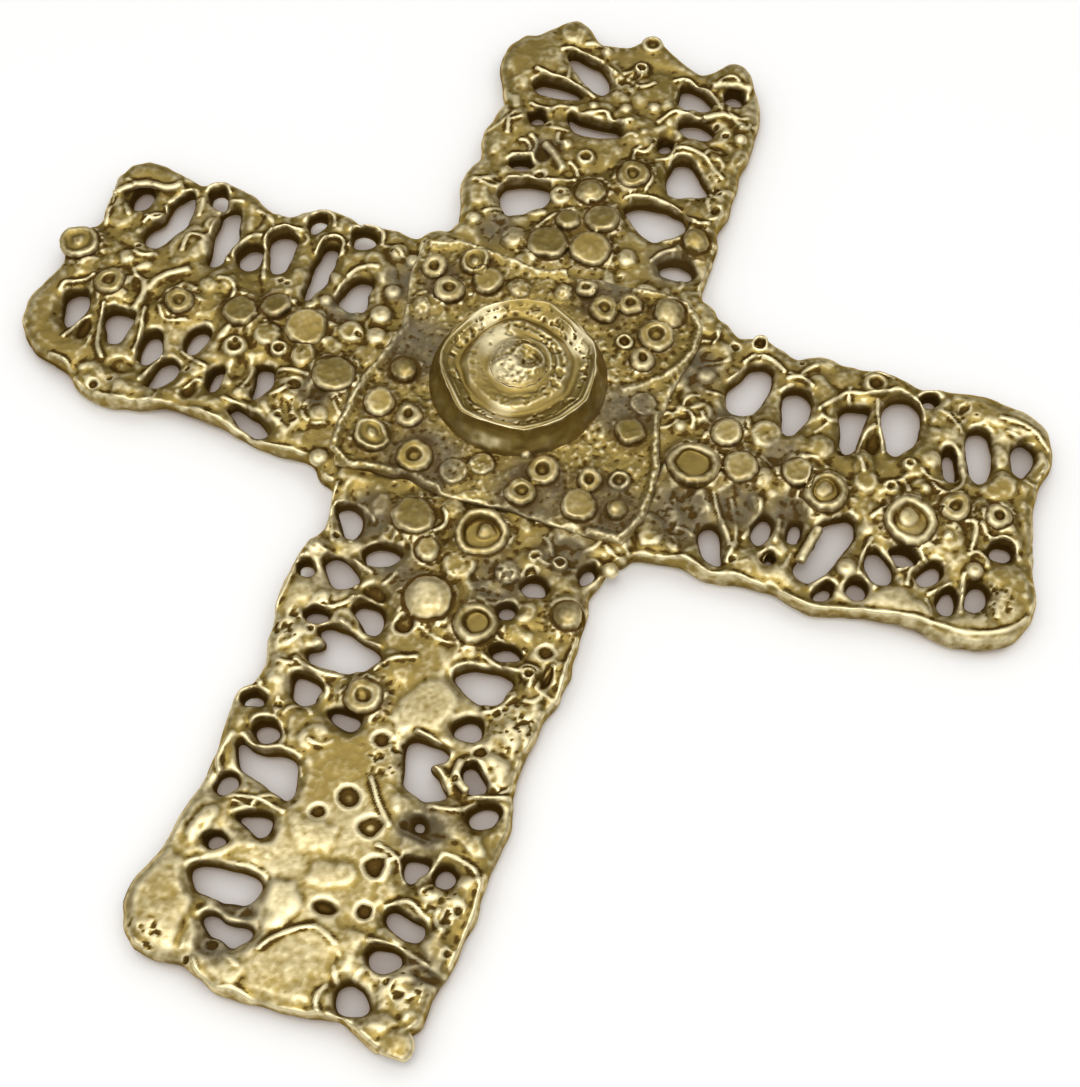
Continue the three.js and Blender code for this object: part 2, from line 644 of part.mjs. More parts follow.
function crossingPlate() {
  const h = HALF_CROSSING;
  const inset = LOBE_INSET;
  let body = box([-h, -ARM_THICKNESS, -h], [h, 0, h]);
  for (const corner of corners()) {
    const [sx, sz] = corner;
    const xs = [sx * (h - inset), sx * (h + inset)].sort((a, b) => a - b);
    const zs = [sz * (h - inset), sz * (h + inset)].sort((a, b) => a - b);
    const past = 1;
    body = body
      .subtract(
        box([xs[0], -ARM_THICKNESS - past, zs[0]], [xs[1], past, zs[1]]),
      )
      .add(lobe(corner, 0));
  }
  return body;
}

// The plaque, with its raised line
const PLAQUE_EDGE = [
  [-24.6, 22.6],
  [-20, 23.6],
  [-14, 23.8],
  [-4.4, 22.4],
  [4, 23.4],
  [12, 24],
  [18, 24.2],
  [23, 22.8],
  [25.4, 18],
  [24.4, 10],
  [23, 2],
  [25.2, -6],
  [26.2, -17],
  [25, -22.8],
  [18, -23.6],
  [6, -23],
  [-6, -23.8],
  [-13, -22.4],
  [-22.4, -23.8],
  [-25, -21.4],
  [-25.6, -15],
  [-24.2, -4],
  [-21.8, 4.6],
  [-23.6, 10],
];
const PLAQUE_WIRES = [
  [
    [-23.6, 21.6],
    [-19.8, 22.8],
    [-14, 23],
    [-4.2, 21.6],
    [0.4, 22.8],
  ],
  [
    [11.6, 23.2],
    [17, 23.6],
    [22.2, 22.4],
    [24.6, 18],
    [23.8, 12],
    [21, 7.6],
    [15.8, 3.6],
  ],
  [
    [22.2, 1.4],
    [23.4, -3.5],
    [25.2, -8],
    [25.6, -16],
    [24.6, -22],
    [18.4, -22.6],
  ],
  [
    [-5.6, -22.8],
    [-13, -21.6],
    [-22, -23],
    [-24.4, -21],
    [-24.9, -15],
    [-23.6, -4],
    [-21.2, 4.6],
    [-22.4, 8.4],
  ],
];

function plaqueWires(grow) {
  return PLAQUE_WIRES.map((wire) =>
    bead(wire, WIRE_RADIUS + grow, PLAQUE_FRONT),
  );
}

function plaque(grow) {
  const sheet = outline(PLAQUE_EDGE, PLAQUE_STEP);
  return slab(sheet, ARM_THICKNESS, PLAQUE_FRONT, PLAQUE_ROUND, grow);
}

// The boss, in three turned pieces about one axis
const BOSS = {
  boss_collar: () => [
    [BOSS_BORE_RADIUS, 0],
    [BOSS_BORE_RADIUS, GROOVE_HEIGHT],
    [BOSS_RIM_RADIUS - BOSS_LIP - GROOVE_SLOPE, GROOVE_HEIGHT],
    [BOSS_RIM_RADIUS - BOSS_LIP, BOSS_HEIGHT - LIP_ROUND],
    [BOSS_RIM_RADIUS - BOSS_LIP / 2, BOSS_HEIGHT],
    [BOSS_RIM_RADIUS, BOSS_HEIGHT - LIP_ROUND * 2],
    [
      (BOSS_RIM_RADIUS + BOSS_FOOT_RADIUS) / 2 - FLANK_HOLLOW,
      BOSS_HEIGHT / 2,
    ],
    [BOSS_FOOT_RADIUS, 0],
    [BOSS_BORE_RADIUS, 0],
  ],
  boss_disc: () => {
    const r = BOSS_BORE_RADIUS - FIT_GAP;
    return [
      [0, DISC_FLOOR],
      [r - DISC_BAND - DISC_SLOPE, DISC_FLOOR],
      [r - DISC_BAND, DISC_HEIGHT],
      [r - DISC_ROUND, DISC_HEIGHT],
      [r, DISC_HEIGHT - DISC_ROUND],
      [r, 0],
      [0, 0],
    ];
  },
  boss_button: () => [
    [0, BUTTON_HEIGHT - CRATER_DEPTH],
    [BUTTON_RADIUS * 0.3, BUTTON_HEIGHT - CRATER_DEPTH],
    [BUTTON_RADIUS * 0.5, BUTTON_HEIGHT],
    [BUTTON_RADIUS * 0.75, BUTTON_HEIGHT],
    [BUTTON_RADIUS, BUTTON_HEIGHT * 0.4],
    [BUTTON_RADIUS, 0],
    [0, 0],
  ],
};
const BOSS_SEGMENTS = 28;

// Applied pieces: name, kind, radius and drawn place. Where two meet, the one that is
// lower in the list was pressed on later, and is cut back round the earlier one.
const ON_PLAQUE = [
  ["plaque_ring_top_left", "pip", MEDIUM, -14.8, 19.8],
  ["plaque_ring_left_upper", "ring", MEDIUM, -17, 13.1],
  ["plaque_disc_top_left", "disc", MEDIUM, -11.6, 16.6],
  ["plaque_ring_left_edge", "ring", SMALL, -20.9, 16.6],
  ["plaque_ring_top", "ring", MEDIUM, 8.4, 17.6],
  ["plaque_ring_top_small", "ring", SEED, 4.5, 20.6],
  ["plaque_ring_top_right", "ring", SMALL, 12.4, 19.8],
  ["plaque_dome_right", "dome", LARGE, 19, 20.4],
  ["plaque_ring_right", "ring", LARGE, 18, 15.2],
  ["plaque_ring_right_lower", "ring", SMALL, 17.3, 10],
  ["plaque_disc_right_low", "disc", MEDIUM, 19.6, -3.6],
  ["plaque_ring_right_low", "ring", SMALL, 16.2, -14.2],
  ["plaque_dome_bottom_right", "dome", SEED, 21.6, -17.8],
  ["plaque_disc_bottom_right", "disc", LARGE, 16, -19],
  ["plaque_ring_bottom", "ring", MEDIUM, 8.7, -15],
  ["plaque_ring_bottom_tail", "ring", MEDIUM, 6.6, -19.6],
  ["plaque_ring_bottom_left", "ring", LARGE, -11.4, -18.7],
  ["plaque_pip_bottom_left", "pip", LARGE, -19.2, -17.2],
  ["plaque_ring_left_low", "ring", SMALL, -14.8, -11.8],
  ["plaque_disc_left_low", "disc", MEDIUM, -20.2, -11.1],
  ["plaque_dome_left", "dome", MEDIUM, -18.7, -3.8],
];

const ON_ARMS = [
  ["upper_egg", "dome", LARGE, -1.4, 41],
  ["upper_disc_right", "disc", LARGE, 2.1, 36],
  ["upper_disc_left", "disc", SMALL, -3.3, 34],
  ["upper_disc_low", "disc", GREAT, 2.3, 29.4],
  ["upper_disc_low_left", "disc", GREAT, -4.9, 28.3],
  ["upper_dome_edge", "dome", MEDIUM, 18.6, 36.7],
  ["upper_ring", "ring", LARGE, 4.5, 46.8],
  ["left_ring_tip", "pip", GREAT, -79.7, 3.4],
  ["left_ring_outer", "ring", MEDIUM, -71.5, -2.5],
  ["left_ring_middle", "ring", MEDIUM, -59, -2.3],
  ["left_disc_outer", "disc", LARGE, -48.5, -1],
  ["left_disc_upper", "disc", MEDIUM, -43.5, 1.8],
  ["left_disc_middle", "disc", GREAT, -37, -0.5],
  ["left_disc_crossing", "disc", GREAT, -29.4, -7.7],
  ["right_cup_crossing", "cup", WIDEST, 30.6, -5.6],
  ["right_disc_upper", "disc", MEDIUM, 34, 1.9],
  ["right_disc_inner", "disc", LARGE, 37.7, -3.6],
  ["right_disc_middle", "disc", MEDIUM, 46.5, -1.8],
  ["right_cup_middle", "cup", GREAT, 51.8, -3.8],
  ["right_cup_outer", "cup", WIDEST, 65.6, -4.6],
  ["right_ring_outer", "ring", MEDIUM, 71.5, 0],
  ["right_ring_tip", "ring", SMALL, 78.5, 0.4],
  ["lower_disc_crossing", "disc", GREAT, -8, -28.4],
  ["lower_cup_crossing", "cup", WIDEST, 3.1, -28],
  ["lower_disc_small", "disc", SMALL, -4, -33.3],
  ["lower_drop", "dome", WIDEST, -1, -41.1],
  ["lower_cup", "cup", GREAT, 7.3, -43],
  ["lower_disc_edge", "dome", MEDIUM, 20, -37.2],
  ["lower_ring", "ring", LARGE, -4.6, -59.6],
];

// The hanging eye: a wire staple with a brazed collar round each foot
function hangingEye() {
  const half = EYE_SPAN / 2;
  const straight = EYE_REACH - EYE_BEND;
  const turn = (t, side) => [
    side * (half - EYE_BEND + EYE_BEND * Math.cos(t)),
    straight + EYE_BEND * Math.sin(t),
  ];
  const quarter = [0, 1, 2, 3, 4].map((i) => (i * Math.PI) / 8);
  const line = [
    [half, EYE_FOOT_HEIGHT / 4],
    ...quarter.map((t) => turn(t, 1)),
    ...quarter.reverse().map((t) => turn(t, -1)),
    [-half, EYE_FOOT_HEIGHT / 4],
  ];
  const ends = line.map(([x, y]) => new THREE.Vector3(x, y, 0));
  const sides = 8;
  const rings = ends.map((p, i) => {
    const before = ends[Math.max(0, i - 1)];
    const after = ends[Math.min(ends.length - 1, i + 1)];
    const out = after.clone().sub(before).normalize();
    const side = new THREE.Vector3(out.y, -out.x, 0);
    return Array.from({ length: sides }, (_, k) => {
      const t = (2 * Math.PI * k) / sides;
      const r = EYE_WIRE_RADIUS;
      return [
        p.x + side.x * r * Math.cos(t),
        p.y + side.y * r * Math.cos(t),
        r * Math.sin(t),
      ];
    });
  });
  const foot = turned(
    [
      [0, 0],
      [EYE_FOOT_RADIUS, 0],
      [EYE_FOOT_RADIUS, -EYE_FOOT_HEIGHT / 2],
      [EYE_WIRE_RADIUS * 1.1, -EYE_FOOT_HEIGHT],
      [0, -EYE_FOOT_HEIGHT],
    ],
    12,
  );
  return loft(rings)
    .add(foot.translate([half, 0, 0]))
    .add(foot.translate([-half, 0, 0]));
}

// The assembly

function mesh(name, shape, material) {
  const made = new THREE.Mesh(geometryOf(shape), material);
  made.name = name;
  return made;
}

function applyPieces(group, rows, taken) {
  for (const [name, kind, radius, x, z] of rows) {
    const [px, pz] = place([x, z]);
    let shape = applied(kind, radius, 0).translate([px, 0, pz]);
    for (const other of taken) shape = shape.subtract(other);
    taken.push(applied(kind, radius, FIT_GAP).translate([px, 0, pz]));
    const piece = mesh(name, shape.translate([-px, 0, -pz]), FINISH.pellet);
    piece.position.set(px, 0, pz);
    group.add(piece);
  }
}

const cross = new THREE.Group();
cross.add(mesh("crossing_plate", crossingPlate(), FINISH.arm));
cross.add(mesh("upper_arm", arm(UPPER, 2, 1), FINISH.arm));
cross.add(mesh("lower_arm", arm(LOWER, 2, -1), FINISH.arm));
cross.add(mesh("left_arm", arm(LEFT, 0, -1), FINISH.arm));
cross.add(mesh("right_arm", arm(RIGHT, 0, 1), FINISH.arm));

let centrePlaque = plaque(0);
for (const wire of plaqueWires(0)) {
  const below = box([-FAR, -ARM_THICKNESS, -FAR], [FAR, FAR, FAR]);
  centrePlaque = centrePlaque.add(wire.subtract(below));
}
cross.add(mesh("centre_plaque", centrePlaque, FINISH.plaque));

const boss = new THREE.Group();
boss.position.set(BOSS_CENTRE[0], -PLAQUE_FRONT, BOSS_CENTRE[1]);
for (const name of ["boss_collar", "boss_disc"])
  boss.add(mesh(name, turned(BOSS[name](), BOSS_SEGMENTS), FINISH.boss));
const button = mesh(
  "boss_button",
  turned(BOSS.boss_button(), BOSS_SEGMENTS / 2),
  FINISH.boss,
);
button.position.y = -DISC_FLOOR;
boss.add(button);
cross.add(boss);

const onPlaque = new THREE.Group();
onPlaque.position.y = -PLAQUE_FRONT;
const bossRoom = turned(
  [
    [0, BOSS_HEIGHT],
    [BOSS_FOOT_RADIUS + FIT_GAP, BOSS_HEIGHT],
    [BOSS_FOOT_RADIUS + FIT_GAP, -1],
    [0, -1],
  ],
  BOSS_SEGMENTS,
).translate([BOSS_CENTRE[0], 0, BOSS_CENTRE[1]]);
applyPieces(onPlaque, ON_PLAQUE, [
  bossRoom,
  ...plaqueWires(FIT_GAP).map((w) => w.translate([0, PLAQUE_FRONT, 0])),
]);
cross.add(onPlaque);

const onArms = new THREE.Group();
onArms.position.y = -ARM_THICKNESS;
const plaqueRoom = [plaque(FIT_GAP), ...plaqueWires(FIT_GAP)].map((s) =>
  s.translate([0, ARM_THICKNESS, 0]),
);
applyPieces(onArms, ON_ARMS, plaqueRoom);
cross.add(onArms);

const eye = mesh("hanging_eye", hangingEye(), FINISH.eye);
eye.position.z = HALF_CROSSING + EYE_ABOVE_CROSSING;
cross.add(eye);

export default cross;
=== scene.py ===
"""A cast openwork brass wall cross on a pale wall, laid out as a Blender add-on and run as a script."""

import math
from functools import partial

import bmesh
import bpy
import numpy as np
from bpy.props import FloatProperty, FloatVectorProperty, IntProperty, PointerProperty
from mathutils import Matrix, Vector, kdtree


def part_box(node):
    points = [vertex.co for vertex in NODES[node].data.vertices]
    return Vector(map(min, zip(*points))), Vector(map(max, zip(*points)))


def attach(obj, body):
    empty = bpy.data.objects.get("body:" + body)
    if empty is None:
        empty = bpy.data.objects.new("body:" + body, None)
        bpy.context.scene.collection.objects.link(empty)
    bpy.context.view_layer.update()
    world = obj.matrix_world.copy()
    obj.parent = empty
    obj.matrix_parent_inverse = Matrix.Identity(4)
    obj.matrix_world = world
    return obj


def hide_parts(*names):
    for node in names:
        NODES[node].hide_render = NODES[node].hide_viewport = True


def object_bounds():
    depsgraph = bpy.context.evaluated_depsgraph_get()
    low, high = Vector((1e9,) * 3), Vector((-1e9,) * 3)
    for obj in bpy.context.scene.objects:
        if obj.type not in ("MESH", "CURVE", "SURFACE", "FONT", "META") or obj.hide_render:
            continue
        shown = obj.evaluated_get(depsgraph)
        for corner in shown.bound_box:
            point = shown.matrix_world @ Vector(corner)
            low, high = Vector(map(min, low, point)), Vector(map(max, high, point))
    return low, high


bl_info = {
    "name": "Openwork brass wall cross",
    "version": (1, 0, 0),
    "blender": (4, 5, 0),
    "location": "View3D > Sidebar > Wall Cross",
    "description": "Models the surface of a cast openwork wall cross around its fixed frame",
    "category": "Object",
}

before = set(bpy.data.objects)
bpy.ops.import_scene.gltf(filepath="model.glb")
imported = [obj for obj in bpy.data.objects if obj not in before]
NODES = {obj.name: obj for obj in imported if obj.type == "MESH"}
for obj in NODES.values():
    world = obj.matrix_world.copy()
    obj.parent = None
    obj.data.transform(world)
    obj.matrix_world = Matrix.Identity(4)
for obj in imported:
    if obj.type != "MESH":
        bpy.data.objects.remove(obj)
CAD_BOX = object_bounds()

BODY = "root"
MM = 0.001

# Levels of the casting, from the frame: millimetres in front of the back, which is y = 0
ARM_FRONT = -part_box("left_arm")[0].y / MM
PLAQUE_FRONT = -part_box("boss_disc")[1].y / MM
CROSSING_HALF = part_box("lower_arm")[1].z / -MM

# Where the outer edge begins, in millimetres from the middle: a bar's sides, and the ends of the arms
BAR_FLANK = 18.5
SIDE_END = 80
TOP_END = 73
FOOT_END = 104

# A distance past which nothing changes, in millimetres
FAR = 9.0

# The photograph's camera, fitted to the edges of both bars: angles to the cross's face, and distance
CAMERA_TURN = 18.53
CAMERA_RISE = 61.3
CAMERA_FAR = 316.8
CAMERA_AIM = (12.06, -26.42)


def camera_axes():
    """The camera's right, up and backward directions."""
    turn, rise = math.radians(CAMERA_TURN), math.radians(CAMERA_RISE)
    out = Vector((0, -1, 0))
    away = Vector((-math.sin(turn), 0, math.cos(turn)))
    back = out * math.sin(rise) - away * math.cos(rise)
    right = (-back).cross(out).normalized()
    return right, right.cross(-back), back


# Where the camera stands, in millimetres
EYE_PLACE = Vector((CAMERA_AIM[0], -ARM_FRONT, CAMERA_AIM[1])) + camera_axes()[2] * CAMERA_FAR

ARM_NODES = ("upper_arm", "lower_arm", "left_arm", "right_arm")

# Small beads, rings and discs pressed into the arms: kind, place, radius
SEEDS = {
    "bead": [
        (-11, 28.6, 2.4), (8.3, 30.5, 1.9), (-8.8, 50.5, 1.2), (-18.9, 30.3, 1.4), (3.2, 63.2, 1.2),
        (-1.4, 61.3, 1.2), (-7, 60.2, 1.0), (-8.5, 72.7, 1.0), (3.2, 57.2, 1.0), (19.5, 61.2, 1.2),
        (18.2, -106.6, 2.6), (-15.3, 75.2, 2.9), (14.5, 75.0, 2.7), (-71.4, 4.0, 1.6), (-56.0, 2.9, 1.8),
        (-53.0, 4.6, 1.8), (-26.0, 2.3, 1.8), (-26.8, 6.6, 1.9), (-26.5, 11.5, 1.5), (-28.4, 19.5, 1.7),
        (-25.5, 18.5, 1.4), (-36.4, 6.3, 1.2), (-29.3, -15.0, 1.9), (-24.9, -12.3, 1.4),
        (-26.5, -22.3, 1.6), (41.7, -3.6, 2.2), (48.7, 4.8, 2.5), (26.4, 1.5, 1.2), (27.7, 12.1, 1.6),
        (71.8, -4.5, 0.8), (65.9, 8.2, 1.9), (66.4, 2.6, 1.0), (58.2, -15.0, 1.7), (77.0, -9.2, 1.5),
        (55.7, 4.8, 1.2), (-3.1, -24.5, 2.1), (8.7, -32.3, 2.0), (-21.0, -37.5, 1.7), (23.7, -27.0, 1.4),
    ],
    "disc": [
        (-6.3, 39.5, 1.9), (-43.2, -3.0, 2.2), (-36.0, -5.0, 2.0), (-30.3, 1.7, 2.0), (40.0, 4.3, 2.5),
        (28.8, 4.9, 2.0), (57.2, 0.8, 2.0), (1.3, -33.5, 2.6),
    ],
    "ring": [
        (-4.8, 48.7, 1.6), (-1.5, 71.0, 1.3), (-1.3, 76.9, 2.0), (-40.2, -5.1, 1.5), (-47.3, -7.0, 2.0),
        (34.3, 21.3, 1.3), (54.3, 19.2, 2.0), (61.2, 1.1, 1.3), (63.0, 6.2, 1.1), (16.0, -28.5, 1.3),
        (12.0, -28.5, 1.2), (17.4, -47.8, 1.2),
    ],
}

# Places painted paler than the rest, for rubbed wear and as painted sheen: place, reach
RUBBED_AND_SHEEN = [
    (-1, -92, 26), (-20, -92, 18), (8, -58, 16), (18, -60, 12), (-20, -50, 16), (80, -18, 9), (66, -19, 10),
    (78, 20, 8), (-1, -40, 6),
]

PLAQUE_DULL = [(-18, 1, 9), (-10, -19, 9), (8, -19, 9), (20, -18, 8), (18, 0, 7), (-19, 15, 5), (8, 20, 7)]

PLAQUE_SEEDS = {
    "bead": [(-6.8, 18.9, 2.1), (0.5, 20.4, 1.8), (-20.9, 10.4, 2.0), (4.7, -11.3, 1.0)],
    "disc": [(19.6, 3.6, 2.1), (-5.2, -18.0, 2.2), (-1.4, -15.5, 2.0)],
    "ring": [(13.2, 13.9, 1.5), (20.3, -11.4, 1.8)],
}

# Beads inside the cups, by what carries them
CUP_BEADS = {
    "right": {"bead": [(65.2, -3.2, 1.9), (51.2, -2.6, 1.6)]},
    "lower": {"bead": [(3.4, -26.8, 1.5)]},
}

# Short strands of a shell-like piece on the plaque: radius, then the places that each runs through
PLAQUE_STRANDS = [
    (0.55, [(-22.2, 10.2), (-21.6, 11.6), (-20.4, 12.2)]),
    (0.6, [(-21.2, 9.2), (-20.4, 10.8), (-19.0, 11.6)]),
    (0.6, [(-20.0, 9.0), (-19.2, 10.4), (-17.8, 11.2)]),
    (0.55, [(-18.8, 9.2), (-18.0, 10.2), (-16.8, 10.8)]),
]

# Strands of wax laid over the arms: radius, then the places that each runs through
STRANDS = [
    (0.7, [(12.0, 63.5), (16.0, 65.4), (19.5, 63.5)]),
    (0.8, [(11.5, 71.0), (15.0, 72.6), (18.4, 72.6)]),
    (0.8, [(-12.6, 49.4), (-10.0, 47.6), (-7.6, 45.0)]),
    (0.7, [(-66.5, 0.4), (-65.6, -2.2), (-65.8, -5.2)]),
    (0.7, [(-60.5, 5.0), (-64.5, 1.4), (-65.2, -1.0)]),
    (0.9, [(51.0, -16.4), (51.6, -13.0), (52.4, -9.6)]),
    (0.7, [(12.6, -64.0), (12.6, -66.6), (15.0, -68.6)]),
    (0.7, [(-79.0, 15.4), (-77.0, 17.8), (-74.5, 19.2), (-70.0, 19.8), (-68.7, 21.2)]),
]

# Thin raised lines, mostly along the far edge of an opening: height, then places
RIDGES = [
    (0.7, [(-16, 70.5), (-14, 71.2), (-8.5, 69.5), (-5.6, 68.2)]),
    (0.7, [(-19, 64.5), (-16, 64), (-12, 63.8), (-7.5, 62)]),
    (0.7, [(5, 70), (7, 71), (9, 70), (11.5, 69.5), (14.5, 66.5)]),
    (0.7, [(5, 60), (6.5, 62.5), (8, 63), (12, 63.2)]),
    (0.6, [(9.6, 55), (12, 55.5), (15, 54.5), (19, 51.5)]),
    (0.6, [(10, 53.8), (14, 51), (18, 47.5)]),
    (0.5, [(3, 52.5), (5, 53), (6, 56)]),
    (0.5, [(7, 51.8), (9, 53), (9.5, 55.5)]),
    (0.7, [(-16, 40), (-10, 41.5), (-5, 43)]),
    (0.6, [(-16.5, 38.5), (-17.5, 37.5), (-20, 37.3)]),
    (0.5, [(-12.5, 53), (-9.5, 53.2)]),
    (0.5, [(-19.5, 52.2), (-18, 53.5)]),
    (0.6, [(-17.5, 57), (-14.5, 56.3), (-12.5, 58), (-9.5, 58.3)]),
    (0.6, [(-8.5, 57.2), (-4.5, 58.8), (-3, 57.6), (-1.5, 57.4), (0.5, 58.4)]),
    (0.6, [(-17, 45.3), (-15.2, 46), (-13.6, 46.4)]),
    (0.8, [(4.5, 42.3), (6.5, 43.3), (11, 43.8), (14, 42.5), (17, 41), (19.5, 41.3)]),
    (0.5, [(12.5, 31), (14, 33.5), (15.5, 34.5)]),
    (0.5, [(2, 47), (3, 49.5), (5, 49.6), (7.6, 47.4), (7.2, 44)]),
    (0.5, [(19, 44), (20.5, 45.4), (21, 43.2), (19.6, 42)]),
    (0.6, [(-78.6, 15), (-78.2, 12), (-77.5, 9)]),
    (0.5, [(-76, 14), (-74.5, 12)]),
    (0.6, [(-71.8, 13), (-70, 12.8), (-68.6, 14.6), (-69.5, 16)]),
    (0.6, [(-68.5, 17.5), (-67, 20), (-65.7, 20.4)]),
    (0.6, [(-64.2, 22), (-63.5, 23), (-61.5, 23.5), (-60.3, 22)]),
    (0.5, [(-64, 19.5), (-63.5, 16)]),
    (0.6, [(-59.5, 20), (-57.3, 20.6)]),
    (0.5, [(-60, 16), (-60.2, 12), (-63, 11.4), (-63, 8)]),
    (0.6, [(-54.6, 10), (-54.5, 12), (-53.5, 14.5), (-51.5, 15)]),
    (0.5, [(-49.5, 12), (-48, 7)]),
    (0.7, [(-50.6, 14.5), (-50, 17), (-48.5, 18), (-45.5, 18.6)]),
    (0.6, [(-44.8, 21), (-43.5, 23.3), (-41.5, 23), (-40.6, 21)]),
    (0.7, [(-41.6, 15), (-41, 18), (-39.7, 18.9), (-38, 18.6), (-37.4, 16)]),
    (0.6, [(-36.9, 18), (-36.8, 21), (-35.5, 22.6), (-32.5, 22.6), (-31.6, 20)]),
    (0.6, [(-34.6, 12), (-33, 14.4), (-30.6, 15)]),
    (0.7, [(-79, -6), (-78.6, -4.4), (-76, -2.8), (-74.6, -1.6)]),
    (0.6, [(-74.4, -14.5), (-73.2, -10.5), (-72.3, -9)]),
    (0.7, [(-71, -6.2), (-70, -10), (-68.6, -14), (-67, -16)]),
    (0.7, [(-64, -5), (-63, -9), (-62.4, -13)]),
    (0.6, [(-62, -4), (-60, -6), (-57, -5)]),
    (0.5, [(-60.8, 0), (-59.8, 1.8), (-57.6, 1.2)]),
    (0.6, [(-55, -10.6), (-52, -12), (-50, -12.4)]),
    (0.6, [(-59.3, -18), (-58.4, -15), (-57.6, -12.6)]),
    (0.5, [(-52.6, -18), (-51, -15.6), (-49.6, -15)]),
    (0.5, [(-45, -17), (-42.4, -17.4), (-40, -18.4)]),
    (0.4, [(-65, -22.5), (-58, -22.7), (-55, -21), (-45, -21), (-38, -23), (-31, -22.5)]),
    (0.5, [(-75, -18.4), (-72.5, -18.6), (-71.4, -19.2)]),
    (0.7, [(33, 16.6), (34.5, 18.3), (37, 18.4), (39.5, 16.8)]),
    (0.6, [(40.5, 15.7), (42.5, 16.5), (44.5, 15.3)]),
    (0.6, [(46.8, 11.3), (49, 14), (50.5, 16), (55, 17), (58, 19), (60, 18.5)]),
    (0.6, [(52.3, 20), (54, 21.5), (56.7, 21)]),
    (0.6, [(55.3, 16), (56.5, 12), (58.5, 7)]),
    (0.5, [(54.6, 5), (54.8, 9), (56, 11)]),
    (0.4, [(30, -23), (34, -21.6), (38, -23), (42, -21.8), (50, -22.8), (56, -23.3), (62, -21.8)]),
    (0.4, [(62, -21.8), (70, -20.2), (78, -20.5), (84, -18), (86.5, -15)]),
    (0.5, [(35, -9), (38, -14), (40, -17)]),
    (0.5, [(38, -9), (40.5, -15), (40.2, -19.6)]),
    (0.5, [(42.4, -8), (43, -11), (41.6, -15)]),
    (0.5, [(46.2, -10), (46.4, -14)]),
    (0.6, [(61, -10.3), (64.5, -12.5), (66, -13), (68.4, -10.6)]),
    (0.6, [(68.3, -10.5), (67.5, -13)]),
    (0.6, [(71.3, -15.5), (74, -12.8)]),
    (0.6, [(75.6, -10.5), (76.5, -17)]),
    (0.7, [(72.3, -1.9), (75.3, -1.5), (75.7, -6)]),
    (0.8, [(76.2, -1.4), (78, -3), (81, -2.6), (83, -5)]),
    (0.6, [(60.5, -9), (60, -15), (63, -17)]),
    (0.5, [(62, 18), (63, 15.2)]),
    (0.4, [(75, 19), (80, 18.2), (83.4, 15.6)]),
    (0.5, [(60.4, 0.8), (62.6, 2.6), (64, 1)]),
    (0.6, [(-21.8, -26), (-21.6, -30), (-20.4, -34)]),
    (0.6, [(-20.5, -29.4), (-19, -28.8), (-17.4, -29)]),
    (0.6, [(-20.5, -37.6), (-18, -38.2), (-14, -38.4), (-11, -39.4)]),
    (0.6, [(-18.6, -49.6), (-17.6, -47.6), (-14.4, -46.6), (-12, -44.4)]),
    (0.6, [(-12.4, -48.6), (-9.6, -50.4), (-5.6, -50.6)]),
    (0.6, [(-16.6, -56.6), (-13, -57.6), (-9, -57)]),
    (0.5, [(-12.6, -58.4), (-10.4, -59.6)]),
    (0.6, [(-4.6, -54.6), (-3.2, -52.4), (0.4, -50.6)]),
    (0.6, [(-22.6, -64), (-21.6, -61.6), (-20.2, -62)]),
    (0.5, [(-19.4, -70.4), (-17, -71.8), (-13.4, -70.6)]),
    (0.6, [(-21, -71), (-21.6, -75), (-20.4, -77)]),
    (0.6, [(-17.6, -80), (-13, -79.4), (-9.4, -80)]),
    (0.6, [(9, -43), (12, -44), (15.4, -44.6)]),
    (0.6, [(10, -47), (13, -48.2), (16, -48)]),
    (0.6, [(16, -48), (16.8, -46.6), (18.6, -47), (18.2, -49.6)]),
    (0.5, [(19.4, -49.8), (20.4, -45.6), (21.4, -48)]),
    (0.6, [(13, -56), (14.8, -55), (16.4, -52)]),
    (0.7, [(5, -62), (8, -62.6), (10.6, -63.6)]),
    (0.6, [(15.6, -69.4), (18.2, -68.6), (21, -67.6)]),
    (0.7, [(10.6, -72.6), (14.6, -71.8), (17, -70)]),
    (0.6, [(1, -71), (3.6, -74.6), (6, -77)]),
    (0.6, [(14.6, -80), (15.4, -78.6), (20, -79.6), (22, -82)]),
    (0.6, [(5.6, -80.4), (9, -81.4), (11.2, -84)]),
    (0.6, [(10, -88.6), (12.6, -87), (16, -88.6)]),
    (0.6, [(9.6, -94), (14, -93.8), (18.4, -95)]),
    (0.6, [(-4.8, -100), (-2.6, -97), (1.4, -94.6), (5, -96)]),
    (0.4, [(-13, -104.4), (-9.6, -107.6), (-6, -106.4), (-2, -107.4), (4, -106.6), (9, -106)]),
    (0.5, [(21.6, -80), (22, -88), (21.6, -94)]),
    (0.5, [(22.6, -40), (22.4, -45), (22.8, -50)]),
    (0.5, [(-22.6, -42), (-22.8, -50), (-21.8, -56)]),
]

